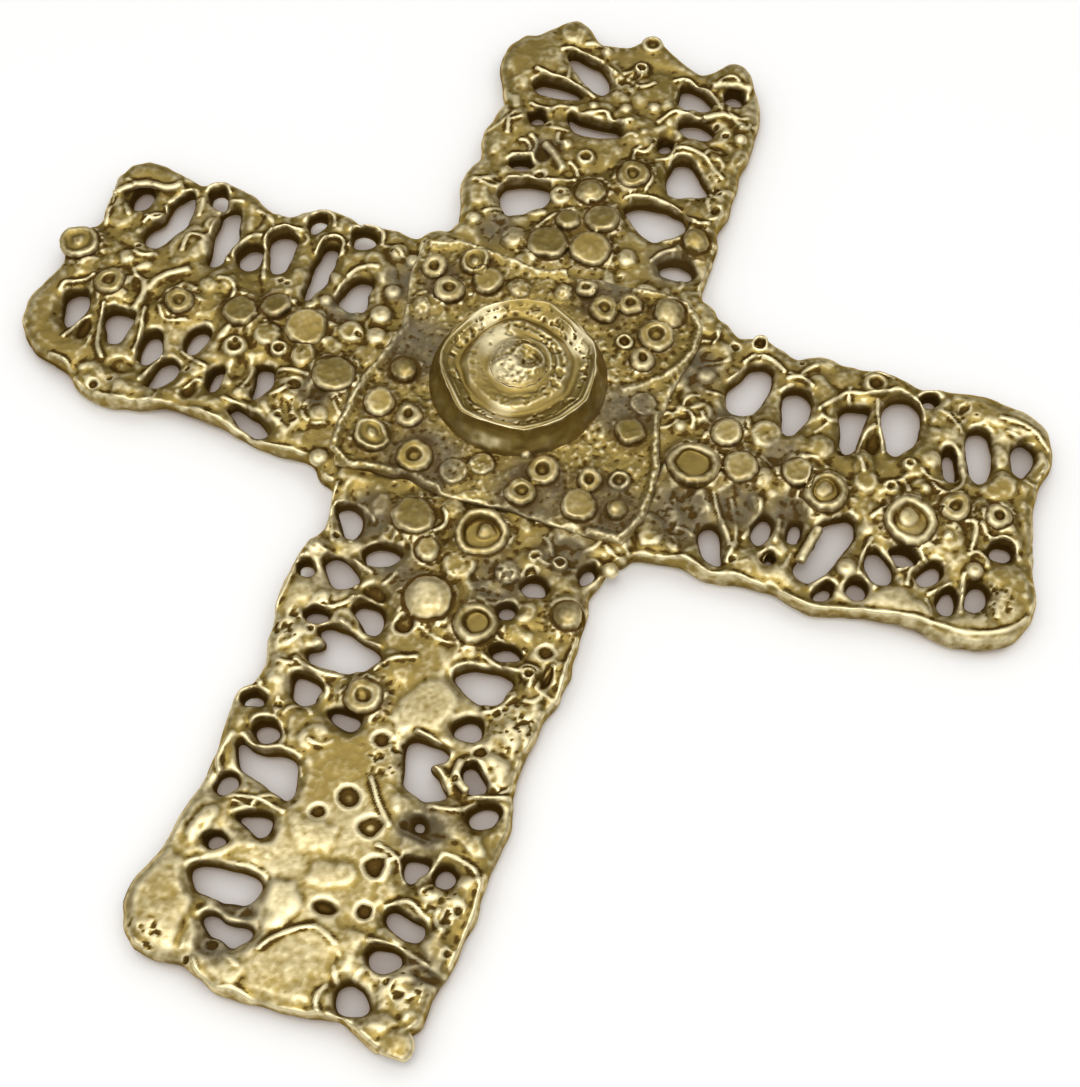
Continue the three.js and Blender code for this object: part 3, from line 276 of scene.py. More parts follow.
# Broad lumps of the arms: place, half widths and height
MOUNDS = [
    (-20.5, 68, 5.8, 6.8, 0.9), (-15.3, 75.4, 3.4, 3.4, 1.1), (-21.6, 49.5, 3.6, 5.4, 0.9),
    (-21.5, 39.5, 3.4, 3.6, 0.8), (-19, 34.5, 4, 4.2, 0.5), (-0.9, 76.6, 2.6, 2.6, 0.8),
    (15, 74.6, 4, 3.6, 1.0), (2.5, 74.2, 5, 2.6, 0.6), (-9, 73, 2, 1.8, 0.5), (2.5, 65.5, 4, 3.4, 0.5),
    (20.6, 68, 2, 5, 0.5), (20.8, 58, 1.8, 4, 0.5), (-5, 50.5, 5, 4.2, 0.6), (4.2, 46.4, 4, 4.4, 0.6),
    (3, 56.5, 3, 2.8, 0.7), (-5, 57.4, 2.6, 1.6, 0.6), (-6.6, 40.5, 2, 3, 0.6), (18, 43.6, 2.4, 1.8, 0.5),
    (-20, 25.5, 4, 3, 0.5), (-74.6, 22, 5.6, 3.4, 0.6), (-57, 21.8, 6, 2.4, 0.7), (-81, -9, 3.4, 8.4, 0.9),
    (-76, -16.4, 5.4, 4, 0.8), (-62, -20, 6.4, 2.6, 0.6), (-44, -18.6, 4.4, 2.4, 0.5),
    (-35, -15.4, 4.6, 4.4, 0.9), (-33, -20.4, 3.6, 2.6, 0.5), (-62.5, 9.4, 2.4, 4, 0.6),
    (-71, 9, 3, 2, 0.4), (-52, 4, 3, 2.4, 0.5), (-55.4, -1, 2.4, 3, 0.5), (-39.4, 21.4, 2, 2.4, 0.5),
    (-33.4, 17.6, 2.6, 1.8, 0.5), (-43, 9.6, 1.6, 2.2, 0.4), (-72, -1.6, 2.4, 2.8, 0.7),
    (80, 19.8, 5, 2.8, 0.8), (73, 20, 5, 2.2, 0.5), (67.6, 14, 2.8, 3.2, 0.8), (58.8, 20, 2.4, 2, 1.0),
    (83.4, -12.6, 4, 6, 0.8), (82, 2, 3, 4, 0.4), (65, -18.8, 7, 2.2, 0.5), (80, -19, 6, 2.4, 0.6),
    (45, -20, 6, 2, 0.5), (65.8, 8.6, 2.2, 2.4, 0.8), (58.4, -14.2, 2.6, 2.4, 0.8), (26, 23.6, 3, 2.8, 0.8),
    (34, 20.8, 2.6, 1.8, 0.6), (45, 21, 2.4, 1.4, 0.5), (57.8, -6, 2, 4, 0.4), (73.4, -6.6, 2, 3, 0.4),
    (-21.6, -99, 5.6, 8.4, 1.0), (-21.2, -38, 2.8, 2, 0.9), (-21, -50, 2.6, 7, 0.5),
    (-18.4, -60, 2.2, 3.6, 0.6), (-22, -68, 1.8, 5, 0.5), (-4.8, -92, 2.8, 4, 0.8),
    (16, -107.4, 3.6, 3.4, 0.8), (18.4, -57, 3.4, 4.2, 0.6), (5.6, -59, 4.6, 5.6, 0.5),
    (7, -47.6, 2.6, 3, 0.4), (0.6, -87.4, 2.8, 2.2, 0.5), (-3.4, -82, 3, 2.4, 0.4),
    (16.6, -86.6, 4.6, 2.6, 0.5), (-13.6, -78.6, 4, 2.4, 0.6), (17, -99.6, 4, 3, 0.5),
    (0.6, -101.4, 6, 6, 0.4), (4, -95.6, 5, 2.4, 0.5), (-9, -105, 4, 2.4, 0.5), (14, -37, 2, 2.2, 0.4),
    (13, -42, 3, 1.8, 0.4), (-17, -26, 2.4, 3, 0.4),
]

# Hollows of the arms: place, half widths and depth
HOLLOWS = [
    (31, -15, 4.4, 5.6, 1.0), (39, -10.6, 3, 3.4, 0.8), (47, -9, 3.4, 3, 0.8), (8, -35, 4, 3.6, 1.0),
    (16.6, -27.4, 2.8, 3.4, 1.0), (-14, -32.4, 2.4, 2.8, 0.7), (-17.6, -27, 2.6, 2.4, 0.6),
    (-9, -42.6, 2.4, 1.6, 1.2), (1.8, -91.6, 1.9, 1.1, 1.3), (20.2, -47.6, 0.9, 2.4, 1.4),
    (-63, -16.8, 2.4, 1.8, 1.1), (-72, -12, 1.2, 2.4, 1.2), (-51, -17.4, 1.6, 2, 1.0),
    (56.6, 7.6, 1.3, 2.4, 1.2), (-12, 47.6, 1.6, 3, 0.9), (19.8, 44, 0.7, 1.2, 1.1),
    (-59, -1.6, 1.6, 2.2, 1.2), (-78.3, 13.4, 0.6, 1.6, 1.3), (-44.6, -11, 1.6, 2.6, 0.8),
    (-47.6, -13.6, 1, 2.6, 1.4), (-30.6, -11.4, 2, 1.6, 0.8), (10.6, -76, 4, 2.4, 1.0),
    (-10, -95.6, 3.4, 1.4, 0.9), (19, -96.4, 3, 1, 1.1), (-12, -101.6, 2, 2, 0.9),
    (17.4, 30.6, 3.4, 2, 0.9), (7.6, 56.6, 1.6, 2.6, 0.8), (16.8, 57, 2, 1.6, 0.6),
    (-10.6, -84, 2, 1.6, 0.6), (77.6, -9.6, 1.4, 1.6, 0.7), (80, -5.6, 3, 1, 0.8),
    (42.6, -0.6, 1.6, 1.4, 0.7), (27.6, 15, 2.4, 2, 0.6), (62.8, 18.6, 1.2, 1.4, 1.2), (-27, 12, 2, 4, 0.5),
    (-33, 3.4, 2.4, 1.6, 0.7),
]

# Blind round pits in the arms: place, radius
PITS = [
    (-11.0, 42.2, 0.8), (-35.0, -11.3, 1.3), (46.2, -17.5, 1.2), (66.3, -11.0, 1.4), (0.3, -65.0, 1.5),
    (-1.0, -74.7, 1.5), (-4.3, -78.4, 1.2), (3.3, -78.3, 1.8), (6.2, -83.7, 1.6), (7.4, -90.3, 1.2),
    (-3.0, -46.2, 1.5), (14.9, -62.3, 1.0), (-11.3, -101.5, 0.9), (18.7, -43.8, 1.2), (12.5, -31.7, 1.1),
    (34.4, 20.2, 0.9), (-66, -21.4, 0.7),
]

# Rough pitted places: place, reach
ROUGH = [
    (18, -57, 5), (16.6, -86.6, 5), (16, -98, 5), (-21, -104, 4), (2, -67, 5), (31, -14, 7), (8, -35, 5),
    (80, -14, 5), (-33, -16, 5), (-20, -52, 4), (16, 48, 5), (-3, 66, 4), (70, 17, 4), (34, 4, 4),
    (-14, 30, 5),
]

# Calm places without small lumps: place, half widths
CALM = [
    (-1, -86, 9, 26), (6, -56, 6, 9), (-20, -98, 6.6, 10), (-20.5, 68, 5.8, 6.8), (3, 73, 9, 4.4),
    (-81, -9, 4.4, 10), (-76, -16, 7, 5), (-75, 22, 6.4, 3.6), (-57, 21.6, 7, 2.8), (80, -17, 9, 5),
    (65, -19, 9, 3), (78, 20.4, 9, 2.8), (-21, -48, 3, 10), (-1, -40, 6, 5),
]

# Dull grey-brown places, where the oxide was never rubbed off: place, reach
DULL = [
    (31, -14, 8), (39, -10, 6), (47, -9, 5), (8, -35, 6), (16, -27, 6), (-15, -30, 6), (-8, -38, 5),
    (-12, 48, 4), (16, 31, 6), (-14, 29, 5), (33, 4, 4), (43, 1, 4), (-33, 5, 5), (-31, -11, 5),
    (-25, 14, 6), (26, 12, 6), (11, -76, 6), (-10, -96, 5), (-11, -102, 4), (18, -96, 4),
]


# Settings


class CastSettings(bpy.types.PropertyGroup):
    grain: FloatProperty(name="Grain", description="Distance between points, in mm", default=0.33, min=0.2)
    edge_round: FloatProperty(name="Edge round", description="Width of the rounded edges, in mm", default=1.0)
    edge_drop: FloatProperty(name="Edge drop", description="Fall of the metal at an edge, in mm", default=0.8)
    thin_drop: FloatProperty(name="Thin drop", description="Fall of the thin strands, in mm", default=0.5)
    swell: FloatProperty(name="Swell", description="Height of the broad lumps, in mm", default=0.35)
    ripple: FloatProperty(name="Ripple", description="Height of the small lumps, in mm", default=0.22)
    pebbles: IntProperty(name="Pebbles", description="Number of small pressed lumps", default=520, min=0)
    pebble_height: FloatProperty(name="Pebble height", description="Height of the lumps, in mm", default=0.6)
    ridge_width: FloatProperty(name="Ridge width", description="Half width of a line, in mm", default=0.34)
    waver: FloatProperty(name="Waver", description="How far the edges stray, in mm", default=0.55)
    fillet: FloatProperty(name="Fillet", description="Metal heaped round pellets, in mm", default=0.5)
    rim: FloatProperty(name="Rim", description="Height of the openings' rims, in mm", default=0.45)
    strands: IntProperty(name="Strands", description="Number of small strands", default=300, min=0)
    pitting: FloatProperty(name="Pitting", description="Depth of the fine pits, in mm", default=0.05)
    seed_height: FloatProperty(name="Seed height", description="Height of a small bead, in mm", default=1.0)
    pit_depth: FloatProperty(name="Pit depth", description="Depth of the blind pits, in mm", default=0.85)
    seed: IntProperty(name="Seed", description="Picks the random surface", default=7)


class PelletSettings(bpy.types.PropertyGroup):
    grain: FloatProperty(name="Grain", description="Distance between points, in mm", default=0.2, min=0.1)
    ripple: FloatProperty(name="Ripple", description="Height of the dents in a pellet, in mm", default=0.16)
    tilt: FloatProperty(name="Tilt", description="How far a pellet's top leans, as a slope", default=0.16)
    stray: FloatProperty(name="Stray", description="How far a pellet is out of round, in mm", default=0.55)


class BossSettings(bpy.types.PropertyGroup):
    grain: FloatProperty(name="Grain", description="Distance between points, in mm", default=0.2, min=0.1)
    out_of_round: FloatProperty(name="Out of round", description="Stray of the rings, in mm", default=0.9)
    crumbs: IntProperty(name="Crumbs", description="Crumbs of metal on the button", default=160, min=0)
    crumb_size: FloatProperty(name="Crumb size", description="Radius of a crumb, in mm", default=0.32)
    pit_size: FloatProperty(name="Pit size", description="Width of the pits, in mm", default=0.9)


class BrassSettings(bpy.types.PropertyGroup):
    # The colour of the painted shade with tarnish in creases, deep places and on steep sides
    recess: FloatVectorProperty(
        name="Recess", description="Tarnish in the deep places", subtype="COLOR", default=(0.10, 0.056, 0.012)
    )
    body: FloatVectorProperty(
        name="Body", description="Colour of the plain metal", subtype="COLOR", default=(0.30, 0.218, 0.062)
    )
    # The colour of wear with painted highlight on what stands out and in the rubbed places
    bright: FloatVectorProperty(
        name="Bright", description="Rubbed high places", subtype="COLOR", default=(0.80, 0.70, 0.43)
    )
    # The oxide of the dull places, also painted on the openings' deep walls as the shaded ground
    bloom: FloatVectorProperty(
        name="Bloom", description="Oxide of the dull places", subtype="COLOR", default=(0.17, 0.14, 0.085)
    )


class StageSettings(bpy.types.PropertyGroup):
    wall_size: FloatProperty(name="Wall size", description="Side of the wall", default=1.6, unit="LENGTH")
    lens: FloatProperty(name="Lens", description="Focal length on a 36 mm sensor", default=67.69)
    key: FloatProperty(name="Key", description="Power of the overhead lamp, in watts", default=0.9)
    sky: FloatProperty(name="Sky", description="Brightness mirrored overhead", default=1.39)
    horizon: FloatProperty(name="Horizon", description="Brightness mirrored far off", default=0.22)
    rear: FloatProperty(name="Rear", description="Brightness mirrored by the back", default=0.8)


# Meshes and arrays


def link(name, mesh):
    """A new object for the mesh, in the scene."""
    obj = bpy.data.objects.new(name, mesh)
    bpy.context.scene.collection.objects.link(obj)
    return obj


def joined(name, nodes):
    """Copies of the named nodes as one mesh, with doubled vertices merged."""
    made = bmesh.new()
    for node in nodes:
        made.from_mesh(NODES[node].data)
    bmesh.ops.remove_doubles(made, verts=made.verts, dist=1e-6)
    mesh = bpy.data.meshes.new(name)
    made.to_mesh(mesh)
    made.free()
    return mesh


def evaluated(obj, name):
    """The object's mesh with its modifiers applied; the object itself is removed."""
    graph = bpy.context.evaluated_depsgraph_get()
    mesh = bpy.data.meshes.new_from_object(obj.evaluated_get(graph))
    mesh.name = name
    bpy.data.objects.remove(obj)
    return mesh


def remeshed(mesh, grain):
    """The mesh as an even net of quads about `grain` millimetres wide."""
    obj = link(mesh.name, mesh)
    net = obj.modifiers.new("even net", "REMESH")
    net.mode = "VOXEL"
    net.voxel_size = grain * MM
    return evaluated(obj, mesh.name)


def points_of(mesh):
    """The mesh's points in millimetres."""
    co = np.empty(len(mesh.vertices) * 3, np.float32)
    mesh.vertices.foreach_get("co", co)
    return co.reshape(-1, 3).astype(float) / MM


def set_points(mesh, points):
    """Puts the points, in millimetres, back into the mesh."""
    mesh.vertices.foreach_set("co", (points * MM).astype(np.float32).ravel())
    mesh.update()


def normals_of(mesh):
    """The mesh's point normals."""
    found = np.empty(len(mesh.vertices) * 3, np.float32)
    mesh.vertex_normals.foreach_get("vector", found)
    return found.reshape(-1, 3).astype(float)


def edges_of(mesh):
    """The mesh's edges as pairs of point numbers."""
    pairs = np.empty(len(mesh.edges) * 2, np.int32)
    mesh.edges.foreach_get("vertices", pairs)
    return pairs.reshape(-1, 2)


def relaxed(points, edges, passes, share=0.6):
    """The points after each has moved `share` of the way to its neighbours' mean, `passes` times."""
    count = len(points)
    a, b = edges[:, 0], edges[:, 1]
    around = np.bincount(a, minlength=count) + np.bincount(b, minlength=count)
    around = np.maximum(around, 1)[:, None]
    moved = points.copy()
    for _ in range(passes):
        mean = np.stack(
            [
                np.bincount(a, weights=moved[b, k], minlength=count)
                + np.bincount(b, weights=moved[a, k], minlength=count)
                for k in range(moved.shape[1])
            ],
            -1,
        )
        moved += share * (mean / around - moved)
    return moved


def softened(mesh, passes):
    """Relaxes the mesh's points, and returns them."""
    points = relaxed(points_of(mesh), edges_of(mesh), passes)
    set_points(mesh, points)
    return points


class Lumps:
    """Smooth random values in space, from a cube of random numbers."""

    SIDE = 32

    def __init__(self, seed):
        self.cube = np.random.default_rng(seed).random((self.SIDE,) * 3) * 2 - 1

    def at(self, points, size):
        """A value from -1 to 1 for each point, with lumps about `size` across."""
        p = points / size
        low = np.floor(p).astype(int)
        f = p - low
        f = f * f * (3 - 2 * f)
        low %= self.SIDE
        high = (low + 1) % self.SIDE
        total = np.zeros(len(points))
        for corner in range(8):
            pick = [(corner >> k) & 1 for k in range(3)]
            index = [high[:, k] if pick[k] else low[:, k] for k in range(3)]
            weight = np.prod([f[:, k] if pick[k] else 1 - f[:, k] for k in range(3)], axis=0)
            total += self.cube[index[0], index[1], index[2]] * weight
        return total

    def layered(self, points, size, layers=3):
        """Lumps on lumps, each layer half as large and half as high."""
        total, high = np.zeros(len(points)), 0.0
        for k in range(layers):
            total += self.at(points + 17.3 * k, size / 2**k) / 2**k
            high += 1 / 2**k
        return total / high


def ramp(value, low, high):
    """0 below `low`, 1 above `high`, smooth between."""
    t = np.clip((value - low) / (high - low), 0, 1)
    return t * t * (3 - 2 * t)


def seat_of(x, z, height):
    """The true place of a thing seen at x, z whose top stands `height` above the arms.

    Places are read off the picture laid flat on the arms' face, where what stands proud of the
    face is seen further from the camera than it is.
    """
    share = height / (-ARM_FRONT - EYE_PLACE.y)
    return x + share * (EYE_PLACE.x - x), z + share * (EYE_PLACE.z - z)


def store(mesh, name, values):
    """Keeps one number for each point of the mesh."""
    layer = mesh.attributes.new(name, "FLOAT", "POINT")
    layer.data.foreach_set("value", values.astype(np.float32))


def pellet_groups():
    """The applied pieces of the frame, grouped by what carries them."""
    groups = {}
    for node in sorted(NODES):
        carrier = node.split("_")[0]
        if carrier in ("plaque", "upper", "lower", "left", "right") and not node.endswith("_arm"):
            groups.setdefault(carrier, []).append(node)
    return groups


def near_places(x, z, rows):
    """1 within each of the round places, 0 outside, at each point: place, reach."""
    found = np.zeros(len(x))
    for cx, cz, reach in rows:
        away = np.hypot(x - cx, z - cz) / reach
        found = np.maximum(found, 1 - ramp(away, 0.35, 1.0))
    return found


def seated_round():
    """The round pieces laid on the arms and the plaque, from the frame: place, radius."""
    rows = []
    for nodes in pellet_groups().values():
        for node in nodes:
            low, high = (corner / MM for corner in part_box(node))
            radius = min(high.x - low.x, high.z - low.z) / 2
            rows.append(((low.x + high.x) / 2, (low.z + high.z) / 2, radius * 0.98))
    return rows


def by_seated(x, z, low, high, scaled=False):
    """1 at and inside the rim of each round piece, falling to 0 from `low` to `high` outside the rim.

    Both are millimetres, or shares of the piece's radius if `scaled`.
    """
    found = np.zeros(len(x))
    for cx, cz, radius in seated_round():
        unit = radius if scaled else 1
        reach = radius + high * unit
        here = np.flatnonzero((np.abs(x - cx) < reach) & (np.abs(z - cz) < reach))
        away = np.hypot(x[here] - cx, z[here] - cz) - radius
        found[here] = np.maximum(found[here], 1 - ramp(away, low * unit, high * unit))
    return found


def under_seated(x, z):
    """1 under each round piece, 0 outside it."""
    return by_seated(x, z, -0.45, -0.2, True)


def outer_flank(x, z, normals):
    """1 on the outer edge of the cross, 0 inside its outline."""
    side = np.abs(x) > np.abs(z)
    sign_x, sign_z = np.sign(x), np.sign(z)

    def faces(out_x, out_z):
        return ramp(normals[:, 0] * out_x + normals[:, 2] * out_z, 0.1, 0.5)

    across = np.where(side, np.abs(z), np.abs(x))
    by_side = ramp(across, BAR_FLANK, BAR_FLANK + 2)
    by_side *= faces(np.where(side, 0, sign_x), np.where(side, sign_z, 0))
    past = np.where(side, np.abs(x) - SIDE_END, np.where(z > 0, z - TOP_END, -z - FOOT_END))
    by_end = ramp(past, 0, 2)
    by_end *= faces(np.where(side, sign_x, 0), np.where(side, 0, sign_z))
    return np.maximum(by_side, by_end)


def mark_relief(mesh, front, deep, dull=(), rubbed=(), seated=False, shine=1.0, darkness=1.0):
    """Keeps how far each point stands out from the surface round it, and how dark its painted shade and
    tarnish are.

    The painted shade and tarnish grow from `front` back to `deep`, both millimetres in front of the back, in
    creases, on steep sides and, if `seated`, round the pieces that are seated on the surface.
    """
    points, edges, normals = points_of(mesh), edges_of(mesh), normals_of(mesh)
    x, z = points[:, 0], points[:, 2]

    # How far each point stands out from its near and from its wider surroundings
    near = relaxed(points, edges, 4)
    wide = relaxed(near, edges, 18)
    fine = np.einsum("ij,ij->i", points - near, normals)
    broad = np.einsum("ij,ij->i", points - wide, normals)

    # The back, the outer edge, the steep sides, the deep places and the walls of the openings
    back = ramp(normals[:, 1], 0.2, 0.8)
    outer = outer_flank(x, z, normals)
    steep = (1 - ramp(np.abs(normals[:, 1]), 0.35, 0.85)) * (1 - 0.5 * outer)
    sunk = ramp(points[:, 1], -front, -deep) * (1 - back) * (1 - 0.55 * outer)
    # Painted shade: the deep part of the openings' walls is painted as the shaded ground behind, paler than
    # the dark above it
    inner = ramp(points[:, 1], -deep, -deep + 1.0) * (1 - outer) * (1 - back)
    sunk *= 1 - 0.5 * inner

    # Painted shade and tarnish in the creases, and round the feet of the seated pieces
    crease = np.maximum(0.7 * ramp(-broad, 0.05, 0.38), ramp(-fine, 0.012, 0.05))
    if seated:
        foot = np.maximum(by_seated(x, z, 0.1, 0.6), 0.5 * by_seated(x, z, 0.6, 2.4) * (broad < 0.1))
        crease = np.maximum(crease, foot * (1 - back))
    crease *= 1 - 0.5 * back

    # Painted shade with tarnish: darker in the deep places, in the creases and on the steep sides
    tarnish = 1 - (1 - 0.8 * sunk) * (1 - 0.85 * crease) * (1 - 0.35 * steep)
    bloom = near_places(x, z, dull) * (1 - 0.8 * ramp(broad, 0.05, 0.35)) * (1 - back)
    # Kept: the relief, the painted shade with tarnish, the oxide with the painted shaded ground, and the
    # rubbed wear with painted sheen
    store(mesh, "fine", fine)
    store(mesh, "tarnish", tarnish * darkness)
    store(mesh, "bloom", np.maximum(bloom, np.maximum(0.45 * back, 0.8 * inner)))
    store(mesh, "rubbed", near_places(x, z, rubbed) * (1 - back) * (1 - steep) * shine)


def finished(name, mesh, material, replaced):
    """Turns a finished mesh into a piece of the cross that stands for its nodes."""
    low, high = (np.array(corner) / MM for corner in CAD_BOX)
    set_points(mesh, np.clip(points_of(mesh), low + 0.001, high - 0.001))
    mesh.materials.clear()
    mesh.materials.append(material)
    mesh.polygons.foreach_set("use_smooth", [True] * len(mesh.polygons))
    piece = link(name, mesh)
    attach(piece, BODY)
    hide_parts(*replaced)
    return piece


# Nodes


def noded(tree, kind, inputs=None, out=0, **properties):
    """Adds a node with its properties and inputs set, and returns the output named, or the node if None.

    An input is a value, or the socket that is wired to it.
    """
    node = tree.nodes.new(kind)
    for name, value in properties.items():
        setattr(node, name, value)
    for label, value in (inputs or {}).items():
        if isinstance(value, bpy.types.NodeSocket):
            tree.links.new(value, node.inputs[label])
        else:
            node.inputs[label].default_value = value
    return node if out is None else node.outputs[out]


def mathed(tree, operation, a, b, clamp=False):
    """The result of a Math node on two sockets or numbers."""
    return noded(tree, "ShaderNodeMath", {0: a, 1: b}, operation=operation, use_clamp=clamp)


def ranged(tree, value, low, high, to_low=0.0, to_high=1.0, kind="SMOOTHSTEP"):
    """A socket's values from `low` to `high`, mapped to other ends."""
    ends = {"From Min": low, "From Max": high, "To Min": to_low, "To Max": to_high}
    return noded(tree, "ShaderNodeMapRange", {"Value": value, **ends}, interpolation_type=kind)


def mixed(tree, factor, a, b):
    """The colour between two others."""
    return noded(tree, "ShaderNodeMix", {0: factor, 6: a, 7: b}, out=2, data_type="RGBA")


def new_tree(name, inputs):
    """A geometry tree with a geometry input and the named inputs; returns it with its input sockets."""
    tree = bpy.data.node_groups.new(name, "GeometryNodeTree")
    for label, kind, default in (("Geometry", "NodeSocketGeometry", None), *inputs):
        socket = tree.interface.new_socket(label, in_out="INPUT", socket_type=kind)
        if default is not None:
            socket.default_value = default
    tree.interface.new_socket("Geometry", in_out="OUTPUT", socket_type="NodeSocketGeometry")
    return tree, tree.nodes.new("NodeGroupInput").outputs


def ended(tree, instances, material):
    """Makes the tree's instances real, gives them the material and passes them out."""
    solid = noded(tree, "GeometryNodeRealizeInstances", {"Geometry": instances})
    coated = noded(tree, "GeometryNodeSetMaterial", {"Geometry": solid, "Material": material})
    noded(tree, "NodeGroupOutput", {"Geometry": coated}, out=None)
    return tree


def strand_tree():
    """Lays a round bead of metal along each curve, as thick as the curve's own radius."""
    tree, given = new_tree(
        "laid strand",
        [("Sides", "NodeSocketInt", 10), ("Material", "NodeSocketMaterial", None)],
    )
    circle = noded(tree, "GeometryNodeCurvePrimitiveCircle", {"Radius": 1.0, "Resolution": given["Sides"]})
    sweep = {
        "Curve": given["Geometry"],
        "Profile Curve": circle,
        "Scale": noded(tree, "GeometryNodeInputRadius"),
        "Fill Caps": True,
    }
    return ended(tree, noded(tree, "GeometryNodeCurveToMesh", sweep), given["Material"])


def seed_tree():
    """Presses a copy of a small solid onto each point, at the size that the point holds."""
    tree, given = new_tree(
        "pressed seeds",
        [("Seed", "NodeSocketObject", None), ("Material", "NodeSocketMaterial", None)],
    )
    seed = noded(tree, "GeometryNodeObjectInfo", {"Object": given["Seed"]}, "Geometry")
    kind = "GeometryNodeInputNamedAttribute"
    size = noded(tree, kind, {"Name": "size"}, "Attribute", data_type="FLOAT_VECTOR")
    seeds = {"Points": given["Geometry"], "Instance": seed, "Scale": size}
    return ended(tree, noded(tree, "GeometryNodeInstanceOnPoints", seeds), given["Material"])


def crumb_tree():
    """Scatters crumbs of metal over a mesh, sized at random."""
    tree, given = new_tree(
        "crumbs",
        [
            ("Count", "NodeSocketInt", 400),
            ("Size", "NodeSocketFloat", 0.0003),
            ("Seed", "NodeSocketInt", 3),
            ("Material", "NodeSocketMaterial", None),
        ],
    )
    crumb = noded(tree, "GeometryNodeMeshIcoSphere", {"Subdivisions": 2, "Radius": given["Size"]})
    spread = {"Mesh": given["Geometry"], "Seed": given["Seed"], "Density": 1e6}
    points = noded(tree, "GeometryNodeDistributePointsOnFaces", spread)
    rank = noded(tree, "GeometryNodeInputIndex")
    pair = {2: rank, 3: given["Count"]}
    past = noded(tree, "FunctionNodeCompare", pair, data_type="INT", operation="GREATER_EQUAL")
    doomed = {"Geometry": points, "Selection": past}
    kept = noded(tree, "GeometryNodeDeleteGeometry", doomed, domain="POINT")
    between = {0: (0.5, 0.5, 0.5), 1: (1.5, 1.2, 1.5), "Seed": given["Seed"]}
    vary = noded(tree, "FunctionNodeRandomValue", between, data_type="FLOAT_VECTOR")
    crumbs = noded(tree, "GeometryNodeInstanceOnPoints", {"Points": kept, "Instance": crumb, "Scale": vary})
    both = noded(tree, "GeometryNodeJoinGeometry", {"Geometry": crumbs}, out=None)
    tree.links.new(given["Geometry"], both.inputs["Geometry"])
    return ended(tree, both.outputs["Geometry"], given["Material"])


def through_tree(obj, tree, values, name):
    """The object's mesh after the tree, with the inputs set by their labels."""
    step = obj.modifiers.new(tree.name, "NODES")
    step.node_group = tree
    for item in tree.interface.items_tree:
        if item.in_out == "INPUT" and item.name in values:
            step[item.identifier] = values[item.name]
    return evaluated(obj, name)


def turned_seed(name, profile, sides=20):
    """A small solid of unit radius on the axis -Y, from pairs of radius and height."""
    made = bmesh.new()
    path = [made.verts.new((r, -h, 0)) for r, h in profile]
    edges = [made.edges.new(pair) for pair in zip(path, path[1:])]
    about = {"cent": (0, 0, 0), "axis": (0, 1, 0), "angle": 2 * math.pi}
    bmesh.ops.spin(made, geom=path + edges, steps=sides, use_merge=True, **about)
    bmesh.ops.remove_doubles(made, verts=made.verts, dist=1e-5)
    bmesh.ops.recalc_face_normals(made, faces=made.faces)
    mesh = bpy.data.meshes.new(name)
    made.to_mesh(mesh)
    made.free()
    return link(name, mesh)


SEED_PROFILES = {
    "bead": [(0, -0.6), (0.95, -0.6), (1, 0), (0.9, 0.45), (0.7, 0.78), (0.4, 0.95), (0, 1)],
    "disc": [(0, -0.6), (1, -0.6), (1, 0.6), (0.9, 0.84), (0.72, 0.92), (0, 0.9)],
    "ring": [(0, -0.6), (1, -0.6), (1, 0.55), (0.9, 0.85), (0.72, 0.95), (0.56, 0.82), (0.42, 0.1), (0, 0)],
}


def pressed_seeds(table, level, height, material, name):
    """Meshes of the small beads, discs and rings of a table, on a face `level` in front of the back."""
    tree = seed_tree()
    meshes = []
    for kind, rows in table.items():
        shape = turned_seed(kind, SEED_PROFILES[kind])
        places = []
        for x, z, _ in rows:
            px, pz = seat_of(x, z, level - ARM_FRONT + height)
            places.append((px * MM, -level * MM, pz * MM))
        cloud = bpy.data.meshes.new(kind)
        cloud.from_pydata(places, [], [])
        sizes = cloud.attributes.new("size", "FLOAT_VECTOR", "POINT")
        tall = height * MM
        sizes.data.foreach_set("vector", [v for row in rows for v in (row[2] * MM, tall, row[2] * MM)])
        meshes.append(through_tree(link(name, cloud), tree, {"Seed": shape, "Material": material}, kind))
        bpy.data.objects.remove(shape)
    return meshes


def laid_strands(table, level, material):
    """One mesh of all the strands of a table, half sunk into a face `level` in front of the back."""
    line = bpy.data.curves.new("strands", "CURVE")
    line.dimensions = "3D"
    for radius, places in table:
        spline = line.splines.new("BEZIER")
        spline.bezier_points.add(len(places) - 1)
        for point, (x, z) in zip(spline.bezier_points, places):
            px, pz = seat_of(x, z, radius)
            point.co = (px * MM, -(level + 0.2 * radius) * MM, pz * MM)
            point.handle_left_type = point.handle_right_type = "AUTO"
            point.radius = radius * MM
        spline.resolution_u = 8
    values = {"Sides": 10, "Material": material}
    return through_tree(link("strands", line), strand_tree(), values, "strands")


def merged(name, meshes):
    """The meshes as one."""
    made = bmesh.new()
    for mesh in meshes:
        made.from_mesh(mesh)
    whole = bpy.data.meshes.new(name)
    made.to_mesh(whole)
    made.free()
    return whole


# The casting: arms and crossing

# The rims round the openings, in millimetres: distance from the edge, and half width
RIM_PLACE = 0.5
RIM_HALF = 0.42


